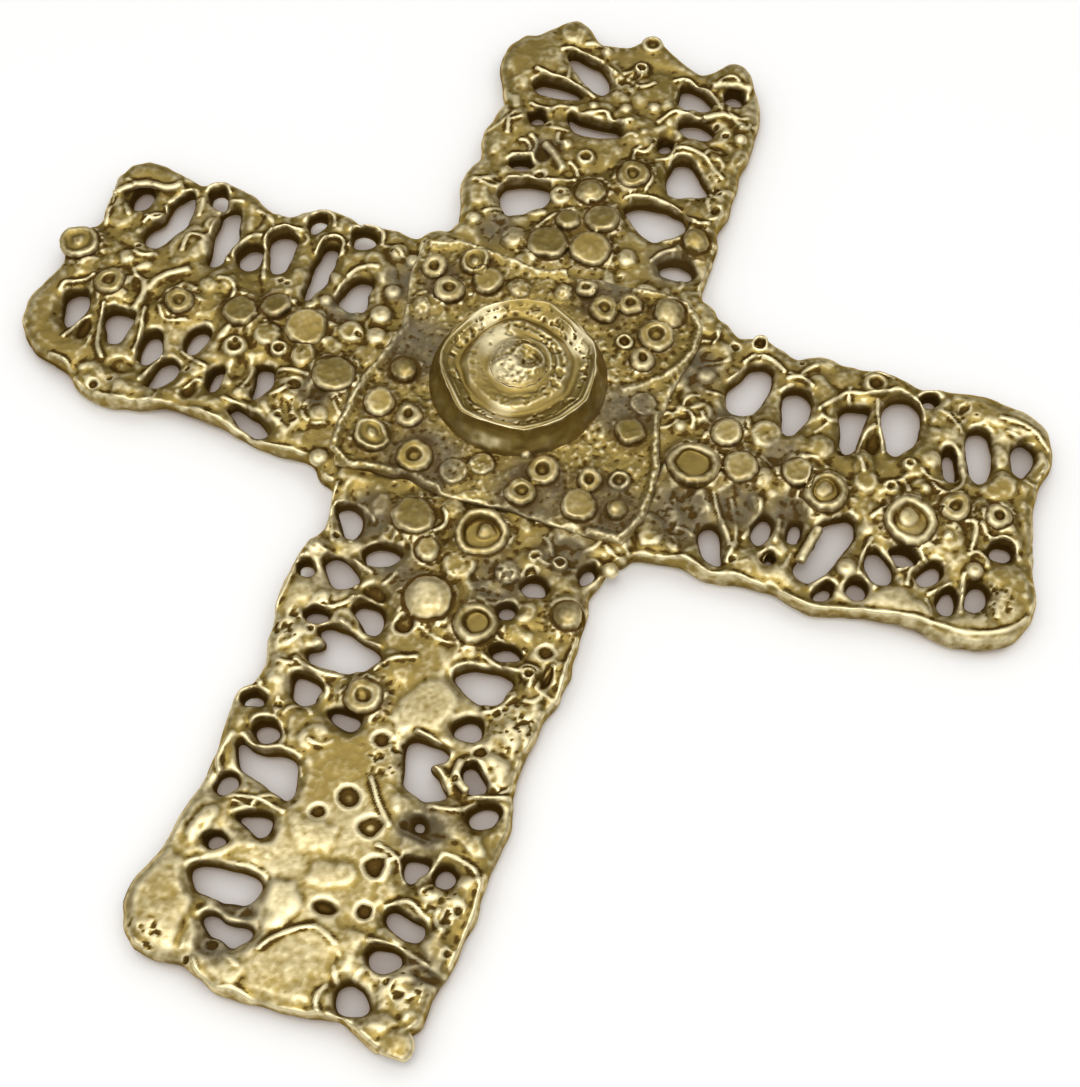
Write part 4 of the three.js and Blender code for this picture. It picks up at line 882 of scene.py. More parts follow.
def distance_to_edge(points, normals):
    """How far each point is from the nearest wall, in mm, and how much that wall is its near side."""
    middle = (points[:, 1] < -1) & (points[:, 1] > -ARM_FRONT + 1)
    walls = points[middle & (np.abs(normals[:, 1]) < 0.35)]
    tree = kdtree.KDTree(len(walls))
    for i, (x, _, z) in enumerate(walls):
        tree.insert((x, 0, z), i)
    tree.balance()
    found = np.full(len(points), FAR)
    nearer = np.zeros(len(points))
    turn = math.radians(CAMERA_TURN)
    to_x, to_z = math.sin(turn), -math.cos(turn)
    for i in np.flatnonzero(points[:, 1] < -0.8):
        x, z = points[i, 0], points[i, 2]
        place, _, away = tree.find((x, 0, z))
        found[i] = away
        nearer[i] = ((place[0] - x) * to_x + (place[2] - z) * to_z) / max(away, 0.05)
    return found, nearer


def curved(places, steps=4):
    """A smooth run of places through the given ones."""
    if len(places) < 3:
        return places
    rows = [places[0], *places, places[-1]]
    run = []
    for corners in zip(rows, rows[1:], rows[2:], rows[3:]):
        for k in range(steps):
            t = k / steps
            place = []
            for p, q, r, s in zip(*corners):
                square, cube = 2 * p - 5 * q + 4 * r - s, 3 * q - p - 3 * r + s
                place.append((2 * q + (r - p) * t + square * t**2 + cube * t**3) / 2)
            run.append(tuple(place))
    run.append(places[-1])
    return run


def near_line(x, z, places):
    """How far each point is from the line through the places, in millimetres."""
    found = np.full(len(x), FAR)
    low_x, high_x = min(p[0] for p in places) - 3, max(p[0] for p in places) + 3
    low_z, high_z = min(p[1] for p in places) - 3, max(p[1] for p in places) + 3
    here = np.flatnonzero((x > low_x) & (x < high_x) & (z > low_z) & (z < high_z))
    for (ax, az), (bx, bz) in zip(places, places[1:]):
        length = (bx - ax) ** 2 + (bz - az) ** 2
        t = np.clip(((x[here] - ax) * (bx - ax) + (z[here] - az) * (bz - az)) / length, 0, 1)
        away = np.hypot(x[here] - ax - t * (bx - ax), z[here] - az - t * (bz - az))
        found[here] = np.minimum(found[here], away)
    return found


def near_ridges(x, z):
    """The height of each thin raised line, with how far each point is from it."""
    for high, places in RIDGES:
        yield high, near_line(x, z, [seat_of(*place, high * 0.6) for place in curved(places)])


def domed(x, z, rows, flatness):
    """Height of the highest of the domes at each point: place, half widths, height and turn."""
    high = np.zeros(len(x))
    for cx, cz, rx, rz, top, turn in rows:
        reach = max(rx, rz)
        here = np.flatnonzero((np.abs(x - cx) < reach) & (np.abs(z - cz) < reach))
        dx, dz = x[here] - cx, z[here] - cz
        along = dx * math.cos(turn) + dz * math.sin(turn)
        across = dz * math.cos(turn) - dx * math.sin(turn)
        away = (along / rx) ** 2 + (across / rz) ** 2
        high[here] = np.maximum(high[here], top * np.tanh(flatness * np.sqrt(np.clip(1 - away, 0, 1))))
    return high


def strewn_place(rng, low, high, half):
    """A random place on either bar, between two ends and within half a width."""
    along, across = rng.uniform(low, high), rng.uniform(-half, half)
    return (along, across) if rng.random() < 0.5 else (across, along)


def pebbles(settings):
    """Small pressed lumps strewn over the arms: place, half widths, height and turn."""
    rng = np.random.default_rng(settings.seed + 5)
    rows = []
    for _ in range(settings.pebbles):
        x, z = strewn_place(rng, -108, 88, 25)
        wide = rng.uniform(0.9, 2.0)
        high = settings.pebble_height * rng.uniform(0.5, 1.2)
        rows.append((x, z, wide, wide * rng.uniform(1.0, 2.4), high, rng.uniform(0, math.pi)))
    return rows


def strewn(count, seed):
    """Random short strands between the larger forms: height, then places."""
    rng = np.random.default_rng(seed)
    rows = []
    for _ in range(count):
        x, z = strewn_place(rng, -106, 86, 22)
        turn, bend = rng.uniform(0, 2 * math.pi), rng.uniform(-0.6, 0.6)
        step = rng.uniform(0.7, 1.5)
        places = [(x, z)]
        for _ in range(rng.integers(3, 6)):
            x += step * math.cos(turn)
            z += step * math.sin(turn)
            turn += bend
            places.append((x, z))
        rows.append((rng.uniform(0.25, 0.6), places))
    return rows


def strewn_pits(count, seed):
    """Random small pits: place, radius."""
    rng = np.random.default_rng(seed)
    return [(*strewn_place(rng, -106, 86, 21), rng.uniform(0.3, 0.7)) for _ in range(count)]


def calm_at(x, z):
    """1 in the calm places of the arms, 0 elsewhere."""
    calm = np.zeros(len(x))
    for cx, cz, rx, rz in CALM:
        away = np.hypot((x - cx) / rx, (z - cz) / rz)
        calm = np.maximum(calm, 1 - ramp(away, 0.7, 1.15))
    return calm


def relief_of_arms(points, edge, nearer, thick, settings):
    """How far the broad forms push each point of the front out of the plain plate, in millimetres."""
    lumps = Lumps(settings.seed)
    x, z = points[:, 0], points[:, 2]
    flat = points * [1, 0, 1]
    calm = calm_at(x, z)

    # Broad lumps, pressed lumps and hollows
    height = lumps.layered(flat, 8.0, 2) * settings.swell * (1 - 0.5 * calm)
    lifted = []
    for cx, cz, rx, rz, top in MOUNDS:
        lifted.append((*seat_of(cx, cz, top), rx * 1.1, rz * 1.1, 0.85 * top, 0.0))

    def strayed(amount, size, layers):
        return [v + amount * lumps.layered(flat + shift, size, layers) for v, shift in ((x, 5), (z, 55))]

    broad = domed(*strayed(2.2, 5.0, 2), lifted, 1.1)
    small = domed(*strayed(0.8, 2.4, 1), pebbles(settings), 1.9)
    height += np.maximum(broad, small * (1 - calm) + 0.4 * broad)
    height += settings.fillet * by_seated(x, z, 0.0, 2.0)
    for cx, cz, rx, rz, depth in HOLLOWS:
        away = np.hypot((x - cx) / rx, (z - cz) / rz)
        height -= depth * (1 - ramp(away, 0.45, 1.15))

    # The metal falls at the edges and where it is thin, but less along rims and raised lines
    inset = np.clip(1 - edge / settings.edge_round, 0, 1)
    drop = settings.edge_drop * (1 - np.sqrt(np.clip(1 - inset**2, 0, 1)))
    drop += settings.thin_drop * (1 - ramp(thick, 0.7, 2.0))
    broken = ramp(lumps.layered(flat + 81, 5.0, 2), -0.25, 0.25)
    rim = np.exp(-(((edge - RIM_PLACE) / RIM_HALF) ** 2)) * ramp(nearer, 0.1, 0.7) * broken
    kept = 0.8 * rim
    for _, away in near_ridges(x, z):
        kept = np.maximum(kept, np.exp(-((away / 0.8) ** 2)))
    height += settings.rim * rim - drop * (1 - 0.8 * kept)

    # Under a pellet the arm lies back, so that the two don't share a face
    under = under_seated(x, z)
    return height * (1 - under) - 0.7 * under


def fine_relief(points, settings):
    """How far the sharp small forms push each point out: raised lines, ripples and blind pits."""
    lumps = Lumps(settings.seed + 3)
    x, z = points[:, 0], points[:, 2]
    flat = points * [1, 0, 1]
    busy = (1 - calm_at(x, z)) * (1 - by_seated(x, z, 0.0, 1.0))
    clear = 1 - under_seated(x, z)

    # Ripples and raised lines
    height = lumps.layered(flat + 40, 2.4, 3) * settings.ripple * (0.35 + 0.65 * busy)
    ridge = np.zeros(len(x))
    width = settings.ridge_width * (1 + 0.35 * lumps.at(flat + 61, 1.7))
    for high, away in near_ridges(x, z):
        ridge = np.maximum(ridge, high * np.exp(-((away / width) ** 2)))
    for high, places in strewn(settings.strands, settings.seed + 8):
        away = near_line(x, z, curved(places, 3))
        ridge = np.maximum(ridge, high * busy * np.exp(-((away / width) ** 2)))
    height += 0.9 * ridge * (0.75 + 0.5 * lumps.at(flat + 11, 2.2))

    # Blind pits, rough patches and small strewn pits
    for cx, cz, r in PITS:
        away = np.hypot(x - cx, z - cz) / r
        away += 0.35 * lumps.at(flat + 23, 1.6)
        height -= settings.pit_depth * (1 - ramp(away, 0.6, 1.1))
    rough = np.maximum(near_places(x, z, ROUGH), 0.7 * by_seated(x, z, 0.0, 3.0))
    height -= 0.3 * rough * ramp(lumps.layered(flat + 3, 1.2, 2), 0.0, 0.4)
    pits = np.zeros(len(x))
    for cx, cz, r in strewn_pits(settings.strands // 3, settings.seed + 9):
        here = np.flatnonzero((np.abs(x - cx) < 2 * r) & (np.abs(z - cz) < 2 * r))
        away = np.hypot(x[here] - cx, z[here] - cz) / r
        pits[here] = np.maximum(pits[here], 1 - ramp(away, 0.5, 1.3))
    return (height - 0.4 * pits * busy) * clear


def cast_surface(settings, material):
    """The whole casting of the arms as one fused mesh."""
    mesh = remeshed(joined("casting", ("crossing_plate", *ARM_NODES)), settings.grain)
    edges = edges_of(mesh)
    points = points_of(mesh)

    # The outline is smoothed more than the faces are, and strays a little
    rounded = relaxed(points, edges, 12)
    points[:, [0, 2]] = rounded[:, [0, 2]]
    points = relaxed(points, edges, 2)
    lumps = Lumps(settings.seed + 4)
    for axis in (0, 2):
        points[:, axis] += settings.waver * lumps.layered(points * [1, 0.4, 1] + 60 * axis, 3.2, 2)
    set_points(mesh, points)

    # The front takes its broad forms
    points, normals = points_of(mesh), normals_of(mesh)
    edge, nearer = distance_to_edge(points, normals)
    thick = relaxed(edge[:, None], edges, 24)[:, 0]
    front = ramp(-points[:, 1], 0.9, ARM_FRONT - 0.3)
    points[:, 1] -= front * relief_of_arms(points, edge, nearer, thick, settings)
    set_points(mesh, points)

    # The small pieces are fused on, then come the sharp forms and the grit
    extras = pressed_seeds(SEEDS, ARM_FRONT, settings.seed_height, material, "seeds")
    extras.append(laid_strands(STRANDS, ARM_FRONT, material))
    mesh = remeshed(merged("casting", [mesh, *extras]), settings.grain)
    points = softened(mesh, 2)
    facing = ramp(-normals_of(mesh)[:, 1], 0.0, 0.6)
    points[:, 1] -= facing * fine_relief(points, settings)
    grit = Lumps(settings.seed + 1).layered(points, 1.0, 2)
    points += normals_of(mesh) * (grit * settings.pitting)[:, None]
    set_points(mesh, points)
    # Painted shade with tarnish in the deep places and creases, oxide, and wear with painted sheen in the
    # rubbed places
    mark_relief(mesh, ARM_FRONT - 0.6, ARM_FRONT - 2.0, DULL, RUBBED_AND_SHEEN, True)
    return mesh


def part_of(mesh, name, cuts):
    """The part of a mesh on the kept side of each cut, closed where it was cut."""
    made = bmesh.new()
    made.from_mesh(mesh)
    for place, normal in cuts:
        everything = made.verts[:] + made.edges[:] + made.faces[:]
        cut = bmesh.ops.bisect_plane(
            made,
            geom=everything,
            plane_co=[v * MM for v in place],
            plane_no=normal,
            clear_outer=True,
        )
        rim = [e for e in cut["geom_cut"] if isinstance(e, bmesh.types.BMEdge)]
        for e in rim:
            e.smooth = False
        bmesh.ops.holes_fill(made, edges=rim)
    bmesh.ops.triangulate(made, faces=[f for f in made.faces if len(f.verts) > 4])
    piece = bpy.data.meshes.new(name)
    made.to_mesh(piece)
    made.free()
    return piece


class CROSS_OT_casting(bpy.types.Operator):
    """Casts the four openwork arms and the crossing"""

    bl_idname = "wall_cross.casting"
    bl_label = "Cast the arms"

    def execute(self, context):
        scene = context.scene
        brass = cast_brass(scene.cross_brass, "arm brass")
        whole = cast_surface(scene.cross_casting, brass)
        h = CROSSING_HALF
        planes = {
            "upper_arm": ((0, 0, h), (0, 0, -1)),
            "lower_arm": ((0, 0, -h), (0, 0, 1)),
            "left_arm": ((-h, 0, 0), (1, 0, 0)),
            "right_arm": ((h, 0, 0), (-1, 0, 0)),
        }
        cuts = {node: [plane] for node, plane in planes.items()}
        cuts["crossing_plate"] = [(place, [-v for v in normal]) for place, normal in planes.values()]
        for node, sides in cuts.items():
            mesh = part_of(whole, node + "_casting", sides)
            finished(node + "_casting", mesh, brass, [node])
        bpy.data.meshes.remove(whole)
        return {"FINISHED"}


# The plaque


class CROSS_OT_plaque(bpy.types.Operator):
    """Lays the plaque over the crossing, with its raised line"""

    bl_idname = "wall_cross.plaque"
    bl_label = "Lay the plaque"

    def execute(self, context):
        scene = context.scene
        settings = scene.cross_casting
        brass = cast_brass(scene.cross_brass, "plaque brass")
        base = joined("plaque", ("centre_plaque",))
        extras = pressed_seeds(PLAQUE_SEEDS, PLAQUE_FRONT, settings.seed_height, brass, "plaque seeds")
        extras.append(laid_strands(PLAQUE_STRANDS, PLAQUE_FRONT, brass))
        mesh = remeshed(merged("plaque", [base, *extras]), 0.75 * settings.grain)
        points = softened(mesh, 4)
        lumps = Lumps(settings.seed + 2)
        for axis in (0, 2):
            points[:, axis] += 0.35 * lumps.layered(points + 60 * axis, 3.4, 2)
        set_points(mesh, points)
        front = ramp(-points[:, 1], ARM_FRONT + 0.3, PLAQUE_FRONT - 0.1)
        flat = points.copy()
        flat[:, 1] = 0
        height = lumps.layered(flat, 5.0, 2) * 0.28 + lumps.layered(flat + 9, 1.9, 2) * 0.22
        heaped = by_seated(points[:, 0], points[:, 2], 0.0, 1.4)
        height += lumps.layered(points, 0.9, 2) * 0.16 + 0.25 * heaped
        points[:, 1] -= front * height
        set_points(mesh, points)
        # Painted shade with tarnish in its creases and round its pellets, and oxide in its dull places
        mark_relief(mesh, PLAQUE_FRONT - 0.2, ARM_FRONT + 0.1, PLAQUE_DULL, (), True)
        finished("centre_plaque_cast", mesh, brass, ["centre_plaque"])
        return {"FINISHED"}


# The boss

BOSS_LOW, BOSS_HIGH = (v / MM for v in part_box("boss_collar"))
BOSS_X = (BOSS_LOW.x + BOSS_HIGH.x) / 2
BOSS_Z = (BOSS_LOW.z + BOSS_HIGH.z) / 2

# The core that fills the boss under its disc, in millimetres: its middle is above the plaque
CORE_RADIUS = 11.2
CORE_DEPTH = 3.6
CORE_MIDDLE = 2.0

# The boss across its middle: distance from the axis, height above the plaque
BOSS_PROFILE = [
    (0.0, 4.9), (2.2, 5.0), (3.6, 4.85), (4.6, 4.45), (5.4, 4.25), (6.2, 4.35), (7.2, 4.45), (8.0, 4.4),
    (8.6, 4.05), (9.2, 3.6), (9.8, 3.6), (10.6, 3.95), (11.4, 4.15), (12.0, 4.5), (12.5, 4.85), (13.0, 4.6),
]

# Its rubbed places, painted paler for wear and as painted sheen: place from the axis, reach
BOSS_RUBBED_AND_SHEEN = [(-4.6, 3.4, 4.5), (-1.0, -1.0, 4.5), (0.0, -11.5, 5.0), (-8.5, 8.0, 4.0), (8.0, 8.0, 4.0)]

# Its grooves: distances from the axis where each begins, is full, starts to rise and ends
OUTER_GROOVE = (9.6, 10.2, 11.6, 12.2)
INNER_GROOVE = (5.4, 6.2, 7.8, 8.6)

# The crater in the button: place from the axis, depth, height of its rim and radius of its rim
CRATER = (1.3, 1.6)
CRATER_DEPTH = 0.9
CRATER_LIP = 0.2
CRATER_RADIUS = 2.5

# How many nearly flat sides the lip has, and how far the boss's face reaches from its axis
LIP_SIDES = 7
FACE_RADIUS = 12.6

# Picks the random surface of the boss
BOSS_SEED = 23


def around_boss(points):
    """Each point's distance from the boss's axis and its direction round it."""
    x, z = points[:, 0] - BOSS_X, points[:, 2] - BOSS_Z
    return np.hypot(x, z), np.arctan2(z, x)


def unturned(points, amount, inner):
    """Pushes turned rings out of round, less towards the axis and at the foot."""
    radius, angle = around_boss(points)
    lumps = Lumps(BOSS_SEED + 8)
    ring = np.stack([np.cos(angle) * 3, np.sin(angle) * 3, points[:, 1] * 0.12], -1)
    stray = lumps.layered(ring, 2.1, 2) * amount * ramp(radius, inner, inner + 3)
    side = 2 * math.pi / LIP_SIDES
    turned = angle + 0.3 + 0.12 * lumps.at(ring + 7, 2.0)
    flat_side = math.cos(side / 2) / np.cos(np.mod(turned, side) - side / 2)
    risen = ramp(-points[:, 1], PLAQUE_FRONT + 0.5, PLAQUE_FRONT + 4.0)
    pulled = np.abs(stray) / np.maximum(radius, 1) + 0.3 * (1 - flat_side) * ramp(radius, inner, inner + 3)
    scale = 1 - pulled * risen
    points[:, 0] = BOSS_X + (points[:, 0] - BOSS_X) * scale
    points[:, 2] = BOSS_Z + (points[:, 2] - BOSS_Z) * scale
    points[:, 2] += 0.2 * risen
    return points


def in_groove(distance, begin, full, rise, end):
    """1 within a groove round the axis, 0 outside it."""
    return ramp(distance, begin, full) * (1 - ramp(distance, rise, end))


def boss_top(points, settings):
    """Height of the boss's front above the plaque: lip, pitted groove, worn disc and rough button."""
    radius, angle = around_boss(points)
    lumps = Lumps(BOSS_SEED)
    flat = points * [1, 0, 1]
    warped = radius + settings.out_of_round * lumps.layered(flat + 5, 5.0, 2)
    warped = np.where(radius > 11.6, radius + 0.3 * lumps.layered(flat + 5, 5.0, 1), warped)
    height = np.interp(warped, [r for r, _ in BOSS_PROFILE], [h for _, h in BOSS_PROFILE])
    grooves = in_groove(warped, *OUTER_GROOVE)
    upper_right = 0.5 + 0.5 * np.cos(angle - math.radians(40))
    grooves += in_groove(warped, *INNER_GROOVE) * (0.25 + 0.75 * upper_right)
    pits = -0.26 * ramp(lumps.layered(flat + 70, settings.pit_size, 2), 0.05, 0.4)
    rings = 0.14 * np.sin(warped * 2 * math.pi / 1.3)
    rings = rings * (1 - ramp(radius, 6.6, 8.2)) * ramp(radius, 2.0, 3.2)
    rings *= upper_right * (0.6 + 0.8 * lumps.at(flat + 33, 3.0))
    crater = np.hypot(points[:, 0] - BOSS_X - CRATER[0], points[:, 2] - BOSS_Z - CRATER[1])
    lip = CRATER_LIP * np.exp(-(((crater - CRATER_RADIUS) / 0.4) ** 2))
    dent = -CRATER_DEPTH * (1 - ramp(crater, 0.7, 2.2)) + lip
    grain = 0.22 * lumps.layered(flat + 90, 0.75, 2) * (1 - ramp(radius, 3.2, 4.4))
    broad = 0.16 * lumps.layered(flat + 50, 5, 2)
    return height + pits * grooves + rings + dent + grain + broad


class CROSS_OT_boss(bpy.types.Operator):
    """Shapes the collar, disc and button of the boss as the one fused lump that they are"""

    bl_idname = "wall_cross.boss"
    bl_label = "Shape the boss"

    def execute(self, context):
        scene = context.scene
        settings = scene.cross_boss
        brass = cast_brass(scene.cross_brass, "boss brass")
        nodes = ("boss_collar", "boss_disc", "boss_button")

        # The solids, the crumbs on the button and a core that fills the hollow make one lump
        filled = bmesh.new()
        bmesh.ops.create_cone(
            filled,
            cap_ends=True,
            segments=48,
            radius1=CORE_RADIUS * MM,
            radius2=CORE_RADIUS * MM,
            depth=CORE_DEPTH * MM,
            matrix=Matrix.Translation(Vector((BOSS_X, -PLAQUE_FRONT - CORE_MIDDLE, BOSS_Z)) * MM)
            @ Matrix.Rotation(math.pi / 2, 4, "X"),
        )
        core = bpy.data.meshes.new("boss core")
        filled.to_mesh(core)
        filled.free()
        crumbs = {"Count": settings.crumbs, "Size": settings.crumb_size * MM, "Material": brass}
        plain = link("button", joined("button", ("boss_button",)))
        button = through_tree(plain, crumb_tree(), crumbs, "button")
        solid = merged("boss", [joined("boss", nodes[:2]), button, core])
        mesh = remeshed(solid, settings.grain)
        points = softened(mesh, 4)

        # The face takes the turned profile, and the rings lose their roundness
        radius, _ = around_boss(points)
        facing = ramp(-normals_of(mesh)[:, 1], 0.2, 0.5)
        inside = 1 - ramp(radius, FACE_RADIUS, FACE_RADIUS + 0.5)
        inside *= ramp(-points[:, 1], PLAQUE_FRONT + 2.2, PLAQUE_FRONT + 2.8)
        level = -(PLAQUE_FRONT + boss_top(points, settings))
        points[:, 1] += facing * inside * (level - points[:, 1])
        points = unturned(points, settings.out_of_round, 8.0)
        points = relaxed(points, edges_of(mesh), 1)
        set_points(mesh, points)

        # The flank gets its lumps
        foot = PLAQUE_FRONT + 0.4
        flank = Lumps(BOSS_SEED + 1).layered(points, 4.5, 3) * 0.4 * ramp(-points[:, 1], foot, foot + 1)
        points += normals_of(mesh) * (flank * (1 - inside))[:, None]
        set_points(mesh, points)
        # The rubbed places get wear with painted sheen, and the deep places painted shade with tarnish
        bright = [(BOSS_X + px, BOSS_Z + pz, reach) for px, pz, reach in BOSS_RUBBED_AND_SHEEN]
        mark_relief(mesh, PLAQUE_FRONT + 1.4, PLAQUE_FRONT - 4.0, (), bright, False, 2.6, 0.85)
        finished("boss_cast", mesh, brass, nodes)
        return {"FINISHED"}


# Pellets

# The beads inside the cups, in millimetres: the cups' floor above the arms, and the beads' height
CUP_FLOOR = 0.3
CUP_BEAD = 0.9

# Pick the random surface of the pellets and of the wire eye
PELLET_SEED = 41
EYE_SEED = 53


class CROSS_OT_pellets(bpy.types.Operator):
    """Shapes the pellets, rings and cups laid on the cross"""

    bl_idname = "wall_cross.pellets"
    bl_label = "Press the pellets"

    def execute(self, context):
        scene = context.scene
        settings = scene.cross_pellets
        brass = cast_brass(scene.cross_brass, "pellet brass")
        lumps = Lumps(PELLET_SEED)
        for carrier, nodes in pellet_groups().items():
            table = CUP_BEADS.get(carrier, {})
            beads = pressed_seeds(table, ARM_FRONT + CUP_FLOOR, CUP_BEAD, brass, "cup beads")
            mesh = remeshed(merged(carrier, [joined(carrier, nodes), *beads]), settings.grain)
            points = softened(mesh, 6)
            seat = PLAQUE_FRONT if carrier == "plaque" else ARM_FRONT

            # The top of each pellet leans its own way
            rng = np.random.default_rng(len(nodes))
            top = ramp(-points[:, 1], seat + 0.2, seat + 1.0)
            for node in nodes:
                low, high = (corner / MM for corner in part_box(node))
                near = (points[:, 0] > low.x - 0.1) & (points[:, 0] < high.x + 0.1)
                near &= (points[:, 2] > low.z - 0.1) & (points[:, 2] < high.z + 0.1)
                lean_x, lean_z = rng.uniform(-1, 1, 2) * settings.tilt
                lean = (points[:, 0] - (low.x + high.x) / 2) * lean_x
                lean += (points[:, 2] - (low.z + high.z) / 2) * lean_z
                points[:, 1] += near * top * lean

            # All are pressed out of round and dented
            for axis in (0, 2):
                points[:, axis] += settings.stray * lumps.layered(points * [1, 0.3, 1] + 70 * axis, 3.0, 2)
            dents = lumps.layered(points, 2.6, 3) * settings.ripple + 0.06
            dents += lumps.layered(points + 30, 0.9, 1) * 0.03
            points += normals_of(mesh) * (dents * top)[:, None]
            set_points(mesh, points)
            # Painted shade with tarnish round each pellet's foot, and wear with painted sheen in the rubbed
            # places
            mark_relief(mesh, seat + 0.7, seat - 0.1, (), RUBBED_AND_SHEEN, False, 1.6)
            finished(carrier + "_pellets", mesh, brass, nodes)
        return {"FINISHED"}


# The hanging eye


class CROSS_OT_eye(bpy.types.Operator):
    """Rounds the wire eye and the braze round its feet"""

    bl_idname = "wall_cross.eye"
    bl_label = "Braze the hanging eye"

    def execute(self, context):
        scene = context.scene
        brass = cast_brass(scene.cross_brass, "wire brass")
        mesh = remeshed(joined("hanging_eye", ("hanging_eye",)), scene.cross_pellets.grain)
        points = softened(mesh, 4)
        points += normals_of(mesh) * (Lumps(EYE_SEED).layered(points, 1.2, 2) * 0.06)[:, None]
        set_points(mesh, points)
        # Painted shade with tarnish towards the back of the wire
        mark_relief(mesh, 0.5, -0.5)
        finished("hanging_eye_wire", mesh, brass, ["hanging_eye"])
        return {"FINISHED"}


# Materials

# The tint of what the metal mirrors edge-on, and the depth of its small bumps in millimetres
EDGE_TINT = (0.85, 0.68, 0.4, 1)
BUMP_DEPTH = 0.14


def brass_group():
    """Colour, roughness and small bumps of worn cast brass with painted highlight and painted shade, from its
    relief and its place.
    """
    found = bpy.data.node_groups.get("worn cast brass")
    if found:
        return found
    group = bpy.data.node_groups.new("worn cast brass", "ShaderNodeTree")
    for way, kind, labels in (
        ("INPUT", "NodeSocketFloat", ("Fine", "Tarnish", "Bloom", "Rubbed")),
        ("INPUT", "NodeSocketVector", ("Place",)),
        ("INPUT", "NodeSocketColor", ("Recess colour", "Body colour", "Bright colour", "Bloom colour")),
        ("OUTPUT", "NodeSocketColor", ("Colour",)),
        ("OUTPUT", "NodeSocketFloat", ("Roughness", "Height", "Metal")),
    ):
        for label in labels:
            group.interface.new_socket(label, in_out=way, socket_type=kind)
    given = group.nodes.new("NodeGroupInput").outputs
    sums, span, blend = partial(mathed, group), partial(ranged, group), partial(mixed, group)

    def noise(scale, detail, roughness):
        grain = {"Vector": given["Place"], "Scale": scale, "Detail": detail, "Roughness": roughness}
        return noded(group, "ShaderNodeTexNoise", grain, out="Fac")

    mottle = noise(330, 5, 0.65)
    patches = noise(90, 4, 0.6)
    speckle = noise(1300, 2, 0.6)

    # Painted highlight with wear where the metal stands out or is rubbed, painted shade with tarnish in
    # creases, dull by oxide and painted shaded ground
    wear_and_highlight = sums("ADD", sums("MULTIPLY", given["Fine"], 9.0), sums("MULTIPLY", patches, 0.7))
    wear_and_highlight = sums("ADD", wear_and_highlight, sums("MULTIPLY", given["Rubbed"], 0.15))
    light = span(wear_and_highlight, 0.3, 0.85)
    more = sums("ADD", sums("MULTIPLY", given["Rubbed"], 0.1), 0.8)
    uneven = sums("MULTIPLY", sums("SUBTRACT", mottle, 0.46), more)
    dark = span(sums("ADD", given["Tarnish"], uneven), 0.1, 0.8)
    bloom = sums("MULTIPLY", given["Bloom"], span(mottle, 0.3, 0.6, 0.5, 1.0), clamp=True)
    colour = blend(light, given["Body colour"], given["Bright colour"])
    colour = blend(bloom, colour, given["Bloom colour"])
    rough = sums("ADD", span(dark, 0.0, 1.0, 0.38, 0.56), sums("MULTIPLY", mottle, 0.16))
    made = {
        "Colour": blend(dark, colour, given["Recess colour"]),
        "Roughness": sums("ADD", rough, sums("MULTIPLY", bloom, 0.16)),
        "Metal": sums("SUBTRACT", 0.97, sums("MULTIPLY", bloom, 0.4)),
        "Height": sums("ADD", sums("MULTIPLY", speckle, 0.4), mottle),
    }
    noded(group, "NodeGroupOutput", made, out=None)
    return group


def cast_brass(colours, name):
    """A worn brass, with painted highlight and wear on what stands out, and painted shade and tarnish in its
    creases.
    """
    material = bpy.data.materials.new(name)
    material.use_nodes = True
    tree = material.node_tree
    shader = tree.nodes["Principled BSDF"]
    given = {
        "Recess colour": (*colours.recess, 1),
        "Body colour": (*colours.body, 1),
        "Bright colour": (*colours.bright, 1),
        "Bloom colour": (*colours.bloom, 1),
        "Place": noded(tree, "ShaderNodeTexCoord", out="Object"),
    }
    for label in ("Fine", "Tarnish", "Bloom", "Rubbed"):
        given[label] = noded(tree, "ShaderNodeAttribute", out="Fac", attribute_name=label.lower())
    worn = noded(tree, "ShaderNodeGroup", given, out=None, node_tree=brass_group()).outputs
    bump = {"Strength": 0.45, "Distance": BUMP_DEPTH * MM, "Height": worn["Height"]}
    for label, socket in (
        ("Normal", noded(tree, "ShaderNodeBump", bump)),
        ("Base Color", worn["Colour"]),
        ("Roughness", worn["Roughness"]),
        ("Metallic", worn["Metal"]),
    ):
        tree.links.new(socket, shader.inputs[label])
    shader.inputs["Specular Tint"].default_value = EDGE_TINT
    return material


# The stage

# Millimetres from the cross's back to the wall, the reach of the painted shade between them, and the length
# of ray that the wall lets through
WALL_GAP = 0.5
SHADE_REACH = 7
SHORT_RAY = 1.2

# The wall's colours in the deepest painted shade and in the open, and its faint glow
WALL_SHADED = (0.30, 0.21, 0.16, 1)
WALL_LIT = (0.9, 0.895, 0.885, 1)
WALL_GLOW = (1, 0.997, 0.99, 1)

# Both bars on the wall, where the painted shade is kept in full, in millimetres: the axis, the middle and the
# half size of each of their sides
UPRIGHT = (("X", 0, 21), ("Z", -15, 92))
CROSSBAR = (("Z", 0, 21), ("X", 0, 84))

# The sky that the metal mirrors: its colour, and the angles from its middle where it is full and gone
SKY_COLOUR = (1.0, 0.985, 0.95, 1)
SKY_FULL = 18
SKY_GONE = 75

# The overhead lamp, in metres
LAMP_PLACE = (0.03, -0.6, -0.16)
LAMP_AIM = (0, 0, -0.01)
LAMP_SIZE = 0.2


